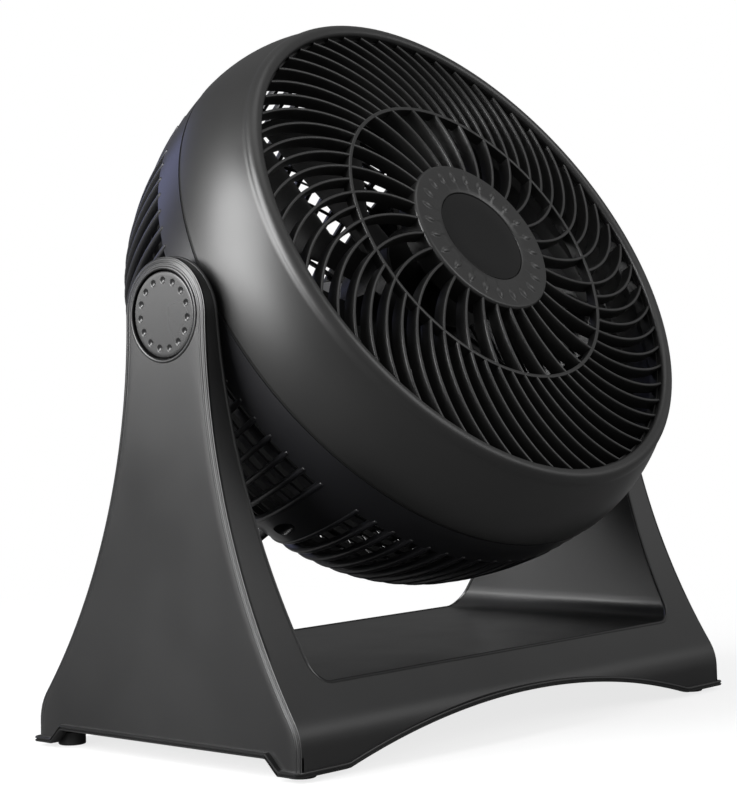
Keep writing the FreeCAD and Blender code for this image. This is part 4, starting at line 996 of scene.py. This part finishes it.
def sweep_at(radius):
    """Turn along the rib's arc at which it reaches a radius; the arc leaves the hub square to it."""
    far = math.hypot(RIB_START, RIB_SWEEP)
    base_angle = math.atan2(RIB_START, RIB_SWEEP)
    cosine = (RIB_SWEEP**2 + far**2 - radius**2) / (2 * RIB_SWEEP * far)
    return math.acos(cosine) - base_angle


def swept_rib(inner, outer):
    """One rib: a tall section with a rounded front edge carried along a circular arc."""
    turn = np.linspace(sweep_at(inner), sweep_at(outer), RIB_POINTS)
    middle = np.stack([RIB_START + RIB_SWEEP * np.sin(turn), RIB_SWEEP - RIB_SWEEP * np.cos(turn)], -1)
    normal = np.stack([-np.sin(turn), np.cos(turn)], -1)
    flat = middle[:, None] + RIB_ACROSS[:, None] * normal[:, None]
    height = dome(np.linalg.norm(middle, axis=1))[:, None] - RIB_FALL
    return np.concatenate([flat, height[..., None]], -1)


def spun(points, angle):
    """Points turned about the head's axis."""
    c, s = math.cos(angle), math.sin(angle)
    x = points[..., 0] * c - points[..., 1] * s
    return np.stack([x, points[..., 0] * s + points[..., 1] * c, points[..., 2]], -1)


long_rib = swept_rib(RIB_START, RIB_TIP)
short_rib = swept_rib(INNER_RING, RIB_TIP)
tip_x, tip_y = long_rib[-1, len(RIB_ACROSS) // 2, :2]
first_turn = RIB_PHASE - math.atan2(tip_y, tip_x)
ribs = []
for k in range(GRILLE_RIBS):
    rib = short_rib if k % 2 else long_rib
    ribs.append(patch(at_head(spun(rib, first_turn + 2 * math.pi * k / GRILLE_RIBS))))
ring_top = float(dome(INNER_RING))
ring_outline = rounded(
    [
        (INNER_RING, ring_top - INNER_RING_DEPTH),
        (INNER_RING + INNER_RING_HALF, ring_top - INNER_RING_DEPTH),
        (INNER_RING + INNER_RING_HALF, ring_top),
        (INNER_RING - INNER_RING_HALF, ring_top),
        (INNER_RING - INNER_RING_HALF, ring_top - INNER_RING_DEPTH),
    ],
    INNER_RING_EDGE,
)
seat_outline = [
    (SEAT_INNER, SEAT_BACK),
    (SEAT_OUTER, SEAT_BACK),
    (SEAT_OUTER, SEAT_FRONT),
    (SEAT_INNER, SEAT_FRONT),
]
rings = [head_ring(outline, steps=144) for outline in (ring_outline, seat_outline)]
grille = welded("grille_ribs", ribs + rings)
GRILLE_SKIN = moulded("grille_satin", (0.008, 0.008, 0.0079), (0.0105, 0.0105, 0.0103), 0.3, 0.37, 0.00002)
settle(grille, GRILLE_SKIN, "head", ["front_grille"], crease=50.0)

# The grille's hub is a shallow cup with a ring of raised drops round its face.
# A plain smooth disc is pressed into the seat in its middle.
HUB_RADIUS = 47.6
HUB_FRONT = 78.6
HUB_DEPTH = 14.0
HUB_WALL = 2.4
HUB_EDGE = 2.0
HUB_DROPS = 24
DROP_CIRCLE = 39.0
DROP_LONG = 3.8
DROP_WIDE = 2.2
DROP_HEIGHT = 1.2
DROP_TAPER = 0.22
DROP_EASE = 0.8
DROP_ROWS = 31
DROP_COLUMNS = 24
HUB_CENTRE = 0.01
HUB_FLOOR = 4.0
DISC_RADIUS = 28.5
DISC_SEAT = 28.8
SEAT_DEPTH = 1.6
SEAT_BEVEL = 0.5
DISC_SUNK = 0.4
DISC_THICK = 1.2
DISC_DISH = ((0.0, 0.25), (0.6, 0.15), (1.0, 0.0))
DISC_EDGE = 0.5


def hub_cup():
    """The hub from its disc seat over the face and round the edge to the back, lifted at each drop."""
    fine = np.linspace(DROP_CIRCLE - DROP_LONG, DROP_CIRCLE + DROP_LONG, DROP_ROWS)
    edge = quarter_turn(steps=7)
    seat = [HUB_CENTRE, DISC_SEAT, DISC_SEAT, DISC_SEAT + SEAT_BEVEL]
    radius = np.concatenate(
        [
            seat,
            fine,
            HUB_RADIUS - HUB_EDGE + HUB_EDGE * np.sin(edge),
            [HUB_RADIUS, HUB_RADIUS - HUB_WALL, HUB_RADIUS - HUB_WALL, HUB_CENTRE],
        ]
    )
    height = np.concatenate(
        [
            [-SEAT_DEPTH, -SEAT_DEPTH, -SEAT_BEVEL, 0.0],
            np.zeros(len(fine)),
            HUB_EDGE * (np.cos(edge) - 1),
            [-HUB_DEPTH, -HUB_DEPTH, -HUB_FLOOR, -HUB_FLOOR],
        ]
    )
    front = np.arange(len(radius)) < len(seat) + len(fine)
    turn = full_turn(HUB_DROPS * DROP_COLUMNS)[:, None]
    pitch = 2 * math.pi / HUB_DROPS
    off = (turn + pitch / 2) % pitch - pitch / 2
    out = (radius * np.cos(off) - DROP_CIRCLE) / DROP_LONG
    wide = DROP_WIDE * (1 - DROP_TAPER * out)
    away = out**2 + (radius * np.sin(off) / wide) ** 2
    along = HUB_FRONT + height + DROP_HEIGHT * np.clip(1 - away, 0, None) ** DROP_EASE * front
    return patch(at_head(wrapped(np.stack([radius + 0 * turn, along], -1), turn)), close_rows=True)


hub = welded("grille_hub", [hub_cup()])
settle(hub, GRILLE_SKIN, "head", crease=50.0)
disc_front = HUB_FRONT - DISC_SUNK
disc_face = [(DISC_RADIUS * share, disc_front - fall) for share, fall in DISC_DISH]
disc_back = [(DISC_RADIUS, disc_front - DISC_THICK), (0.0, disc_front - DISC_THICK)]
disc_outline = rounded(disc_face + disc_back, DISC_EDGE)
disc = welded("hub_plain_disc", [head_ring(disc_outline, steps=96, closed=False)])
DISC_SKIN = moulded(
    "disc_smooth", (0.005, 0.005, 0.0051), (0.007, 0.007, 0.0071), 0.16, 0.22, 0.00001, shine=0.15
)
settle(disc, DISC_SKIN, "head", ["hub_disc"], crease=50.0)

# The fan is a moulding of twisted, cambered blades on a hollow hub, pushed on the shaft.
# A round hand nut holds it, and the whole turns with the rotor.
FAN_RADIUS = 134.0
FAN_BLADES = 8
FAN_HUB_RADIUS = 34.0
FAN_HUB_BACK = -6.0
FAN_HUB_FRONT = 38.0
FAN_MIDDLE = 16.0
BLADE_HALF_THICK = 1.2
BLADE_FIRST = 5.5
BLADE_SECTIONS = [(28.0, 8.0, 10.0, 48.0), (58.0, 3.0, 13.0, 41.0), (137.0, 38.0, 34.0, 24.0)]
BLADE_CAMBER = 0.09
BLADE_POINTS = 25
BLADE_ROWS = (8, 18)
ROOT_SHARE = 0.1
BLADE_EDGE_POWER = 6
BLADE_EDGE_LEAST = 0.25
TIP_SWEEP = 0.97
SHAFT_HOLE = 4.05
FAN_BOSS = 9.0
FAN_HUB_WALL = 3.0
FAN_HUB_EDGE = 1.2
NUT_RADIUS = 11.0
NUT_FRONT = 50.0
NUT_EDGE = 1.5


def blade_line(place, ahead, behind, pitch, share, up):
    """A cambered section square to the radius at a place on it: an arc of set rise, turned by the pitch.

    It reaches a length ahead of and a length behind the blade's own middle line.
    """
    chord = ahead + behind
    along = chord * share - ahead
    rise = up - BLADE_CAMBER * chord * (1 - (2 * share - 1) ** 2)
    turn = math.radians(pitch)
    return np.stack(
        [
            np.full_like(along, place),
            along * math.cos(turn) + rise * math.sin(turn),
            FAN_MIDDLE - along * math.sin(turn) + rise * math.cos(turn),
        ],
        -1,
    )


def fan_blade():
    """One blade: straight lines from section to section, cut to a round tip.

    Each section has its place on the radius, its lengths ahead and behind, and its pitch in degrees.
    """
    share = np.concatenate([np.linspace(0, 1, BLADE_POINTS), np.linspace(1, 0, BLADE_POINTS)])
    thin = np.clip(np.sqrt(1 - (2 * share - 1) ** BLADE_EDGE_POWER), BLADE_EDGE_LEAST, 1)
    up = np.repeat([BLADE_HALF_THICK, -BLADE_HALF_THICK], BLADE_POINTS) * thin
    root, neck, tip = (blade_line(*section, share, up) for section in BLADE_SECTIONS)
    neck_at, tip_at = BLADE_SECTIONS[1][0], BLADE_SECTIONS[2][0]
    y = neck[:, 1] + (tip[:, 1] - neck[:, 1]) * TIP_SWEEP
    far = (np.sqrt(FAN_RADIUS**2 - y**2) - neck_at) / (tip_at - neck_at)
    inner = root + np.linspace(ROOT_SHARE, 1, BLADE_ROWS[0])[:-1, None, None] * (neck - root)
    outer = neck + np.linspace(0, 1, BLADE_ROWS[1])[:, None, None] * far[:, None] * (tip - neck)
    middle = 0.5 * (outer[-1] + outer[-1][::-1])
    return np.concatenate([inner, outer, middle[None]])


def fan_hub():
    """The hub cup, open at the back, with the boss for the shaft."""
    inner = FAN_HUB_RADIUS - FAN_HUB_WALL
    inner_front = FAN_HUB_FRONT - FAN_HUB_WALL
    corners = [
        (SHAFT_HOLE, FAN_HUB_FRONT),
        (FAN_HUB_RADIUS, FAN_HUB_FRONT),
        (FAN_HUB_RADIUS, FAN_HUB_BACK),
        (inner, FAN_HUB_BACK),
        (inner, inner_front),
        (FAN_BOSS, inner_front),
        (FAN_BOSS, FAN_HUB_BACK),
        (SHAFT_HOLE, FAN_HUB_BACK),
    ]
    return head_ring(rounded(corners, FAN_HUB_EDGE), steps=72, closed=False)


one_blade = fan_blade()
blade_turns = np.radians(BLADE_FIRST + 360.0 * np.arange(FAN_BLADES) / FAN_BLADES)
blades = [patch(at_head(spun(one_blade, turn)), close_columns=True) for turn in blade_turns]
fan = welded("fan_rotor", blades + [fan_hub()])
FAN_SKIN = moulded(
    "fan_gloss", (0.004, 0.004, 0.0041), (0.006, 0.006, 0.0061), 0.34, 0.42, 0.00001, shine=0.2
)
settle(fan, FAN_SKIN, "fan", ["fan_blades"], crease=50.0)
nut_corners = [(0.0, NUT_FRONT), (NUT_RADIUS, NUT_FRONT), (NUT_RADIUS, FAN_HUB_FRONT), (0.0, FAN_HUB_FRONT)]
nut = welded("fan_hand_nut", [head_ring(rounded(nut_corners, NUT_EDGE), steps=48, closed=False)])
settle(nut, FAN_SKIN, "fan", ["fan_nut"], crease=50.0)

# The motor sits on the back plate: two die-cast brackets clamp a sheet-steel core with copper coils,
# and a ground shaft runs in two bronze bushes. These show only through the slots.
CAST = moulded("cast_aluminium", (0.42, 0.42, 0.43), (0.55, 0.55, 0.56), 0.45, 0.6, 0.0001, metal=1.0)
CORE = moulded(
    "core_steel", (0.25, 0.25, 0.26), (0.36, 0.36, 0.37), 0.35, 0.5, 0.00005, metal=1.0, pitch=400.0
)
COPPER = moulded(
    "coil_copper", (0.38, 0.14, 0.06), (0.5, 0.2, 0.09), 0.3, 0.45, 0.0002, metal=1.0, pitch=700.0
)
BRONZE = moulded("bush_bronze", (0.42, 0.28, 0.12), (0.5, 0.34, 0.16), 0.35, 0.5, 0.00003, metal=1.0)
for node, finish, body, slot in (
    ("motor_rear_bracket", CAST, "head", "motor_aluminium"),
    ("motor_front_bracket", CAST, "head", "motor_aluminium"),
    ("stator_core", CORE, "head", "core_steel"),
    ("stator_windings", COPPER, "head", "winding_copper"),
    ("rear_bush", BRONZE, "head", "bush_brass"),
    ("front_bush", BRONZE, "head", "bush_brass"),
    ("motor_screws", SCREW, "head", "screw_steel"),
    ("rotor_core", CORE, "fan", "core_steel"),
    ("motor_shaft", CORE, "fan", "core_steel"),
):
    smooth_copy(node, finish, body)

# The control cover on the back is a round moulded cup that holds the speed switch and the capacitor.
# Its knob has a skirt and a finger bar; a small rubber gland lower down takes the supply lead.
KNOB = moulded("knob_satin", (0.012, 0.012, 0.0122), (0.016, 0.016, 0.0162), 0.3, 0.38, 0.00002)
PART = moulded("switch_plastic", (0.07, 0.07, 0.075), (0.09, 0.09, 0.095), 0.4, 0.5, 0.00002)
for node, finish, body, slot in (
    ("control_cover", REAR_SKIN, "head", "shell_plastic"),
    ("cover_screws", SCREW, "head", "screw_steel"),
    ("rotary_switch", PART, "head", "switch_plastic"),
    ("capacitor", PART, "head", "switch_plastic"),
    ("switch_spindle", PART, "knob", "switch_plastic"),
    ("speed_knob", KNOB, "knob", "knob_plastic"),
    ("cord_gland", RUBBER, "head", "gland_rubber"),
):
    smooth_copy(node, finish, body)

# The stage is a plain white sheet under soft boxes: a large one at the left with a low one and a strip
# beside it, and weak ones in front, at the right, above and, cooler, behind.
# Sheet and surroundings look white, and the sheet keeps a faint shadow.
SHEET_REACH = 6.0
SHEET_SHADOW = 0.22
SHEET_FADE = (0.25, 0.8)
SHEET_TONES = ((0.9, 0.9, 0.9), (0.94, 0.94, 0.94))
SHEET_BOUNCE = (0.12, 0.12, 0.12)
GLOSS_SHARE = 0.06
WHITE = (1.0, 1.0, 1.0)
BRIGHT_SIDE = (-0.35, -0.85, 0.4)
ROOM_LEVELS = (0.0, 0.6)


def seen_share(tree):
    """How much a ray counts as sight: one for direct sight and sight through clear pieces, less for gloss."""
    path = added(tree, "ShaderNodeLightPath")
    direct = added(tree, "ShaderNodeMath", operation="MAXIMUM")
    weighed = added(tree, "ShaderNodeMath", {1: GLOSS_SHARE}, "MULTIPLY")
    either = added(tree, "ShaderNodeMath", operation="MAXIMUM")
    wired(
        tree,
        (path, "Is Camera Ray", direct, 0),
        (path, "Is Transmission Ray", direct, 1),
        (path, "Is Glossy Ray", weighed, 0),
        (direct, "Value", either, 0),
        (weighed, "Value", either, 1),
    )
    return either


floor_corners = [(SHEET_REACH * x, SHEET_REACH * y, 0) for x, y in ((-1, -1), (1, -1), (1, 1), (-1, 1))]
floor_mesh = bpy.data.meshes.new("floor")
floor_mesh.from_pydata(floor_corners, [], [(0, 1, 2, 3)])
floor = placed("floor", floor_mesh)
paper = bpy.data.materials.new("paper")
paper.use_nodes = True
tree = paper.node_tree
sheet = tree.nodes["Principled BSDF"]
sheet.inputs["Roughness"].default_value = 0.9
sheet.inputs["Specular IOR Level"].default_value = 0.1
place = added(tree, "ShaderNodeTexCoord")
fibre = added(tree, "ShaderNodeTexNoise", {"Scale": 40.0})
white = toned(tree, (0.0, 1.0), SHEET_TONES)
bounce = added(tree, "ShaderNodeMix")
bounce.data_type = "RGBA"
bounce.inputs[6].default_value = (*SHEET_BOUNCE, 1.0)
away = added(tree, "ShaderNodeVectorMath", operation="LENGTH")
fade = ranged(tree, SHEET_FADE, (1.0 - SHEET_SHADOW, 1.0))
share = added(tree, "ShaderNodeMath", operation="MULTIPLY")
glow = added(tree, "ShaderNodeEmission", {"Strength": 1.0})
blend = added(tree, "ShaderNodeMixShader")
seen = seen_share(tree)
wired(
    tree,
    (place, "Object", fibre, "Vector"),
    (place, "Object", away, 0),
    (fibre, "Fac", white, "Fac"),
    (seen, "Value", bounce, 0),
    (white, "Color", bounce, 7),
    (bounce, 2, sheet, "Base Color"),
    (away, "Value", fade, "Value"),
    (seen, "Value", share, 0),
    (fade, "Result", share, 1),
    (share, "Value", blend, "Fac"),
    (sheet, "BSDF", blend, 1),
    (glow, "Emission", blend, 2),
    (blend, "Shader", tree.nodes["Material Output"], "Surface"),
)
floor_mesh.materials.append(paper)

world = bpy.data.worlds.new("studio")
bpy.context.scene.world = world
world.use_nodes = True
tree = world.node_tree
room = tree.nodes["Background"]
room.inputs["Color"].default_value = (*WHITE, 1.0)
backdrop = added(tree, "ShaderNodeBackground", {"Color": (*WHITE, 1.0), "Strength": 1.0})
place = added(tree, "ShaderNodeTexCoord")
toward = added(tree, "ShaderNodeVectorMath", {1: BRIGHT_SIDE}, "DOT_PRODUCT")
level = ranged(tree, (-1.0, 1.0), ROOM_LEVELS)
blend = added(tree, "ShaderNodeMixShader")
wired(
    tree,
    (place, "Generated", toward, 0),
    (toward, "Value", level, "Value"),
    (level, "Result", room, "Strength"),
    (seen_share(tree), "Value", blend, "Fac"),
    (room, "Background", blend, 1),
    (backdrop, "Background", blend, 2),
    (blend, "Shader", tree.nodes["World Output"], "Surface"),
)


def stand(made, right, up, back, place):
    """Set a lamp or a camera at a place in metres, with its own three axes along the directions given."""
    station = np.eye(4)
    station[:3] = np.stack([right, up, back, place], -1)
    made.matrix_world = Matrix(station.tolist())


def soft_box(name, place, aim, wide, tall, power, colour=WHITE):
    """A flat lamp at a place, facing a point, with its tall side upright."""
    lamp = bpy.data.lights.new(name, "AREA")
    lamp.shape = "RECTANGLE"
    lamp.size = wide
    lamp.size_y = tall
    lamp.energy = power
    lamp.color = colour
    back = unit(np.array(place, float) - np.array(aim, float))
    right = unit(np.cross((0.0, 0.0, 1.0), back))
    stand(placed(name, lamp), right, np.cross(back, right), back, place)


soft_box("left_box", (-1.53, 0.52, 1.05), (0, 0, 0.25), 1.1, 1.35, 66)
soft_box("side_strip", (-1.15, 1.12, 0.44), (0, 0, 0.25), 0.8, 0.35, 4.4)
soft_box("low_box", (-1.55, 0.2, 0.3), (0, 0, 0.2), 0.55, 0.55, 6.0)
soft_box("front_box", (0.7, -1.9, 1.3), (0, 0, 0.2), 1.2, 1.2, 13.5)
soft_box("right_box", (1.4, -1.3, 0.7), (0, 0, 0.2), 0.9, 0.5, 1.1)
soft_box("top_box", (0.0, -0.3, 2.0), (0, 0, 0.2), 1.2, 1.2, 5)
soft_box("back_box", (0.1, 2.0, 0.85), (0, 0, 0.3), 0.8, 0.8, 1.7, (0.45, 0.5, 1.0))

# The camera stands at the front left, about 1.3 metres off and a little lower than the pivots.
# Its place, aim and long lens come from fitting the fan's known circles in the photograph.
CAMERA_PLACE = np.array([-952.9, -846.0, 202.95])
CAMERA_RIGHT = np.array([0.672293, -0.739814, -0.026391])
CAMERA_DOWN = np.array([-0.03035, 0.008074, -0.999507])
CAMERA_AHEAD = np.array([0.739662, 0.672763, -0.017025])
FOCAL_PIXELS = 2235.4
IMAGE_TALL = 800.0
SENSOR = 36.0
camera = bpy.data.cameras.new("photo_camera")
camera.sensor_width = SENSOR
camera.lens = FOCAL_PIXELS * SENSOR / IMAGE_TALL
camera.clip_start = 0.05
camera.clip_end = 50.0
camera_object = placed("photo_camera", camera)
stand(camera_object, CAMERA_RIGHT, -CAMERA_DOWN, -CAMERA_AHEAD, CAMERA_PLACE * MM)
bpy.context.scene.camera = camera_object
bpy.context.scene.view_settings.view_transform = "Standard"
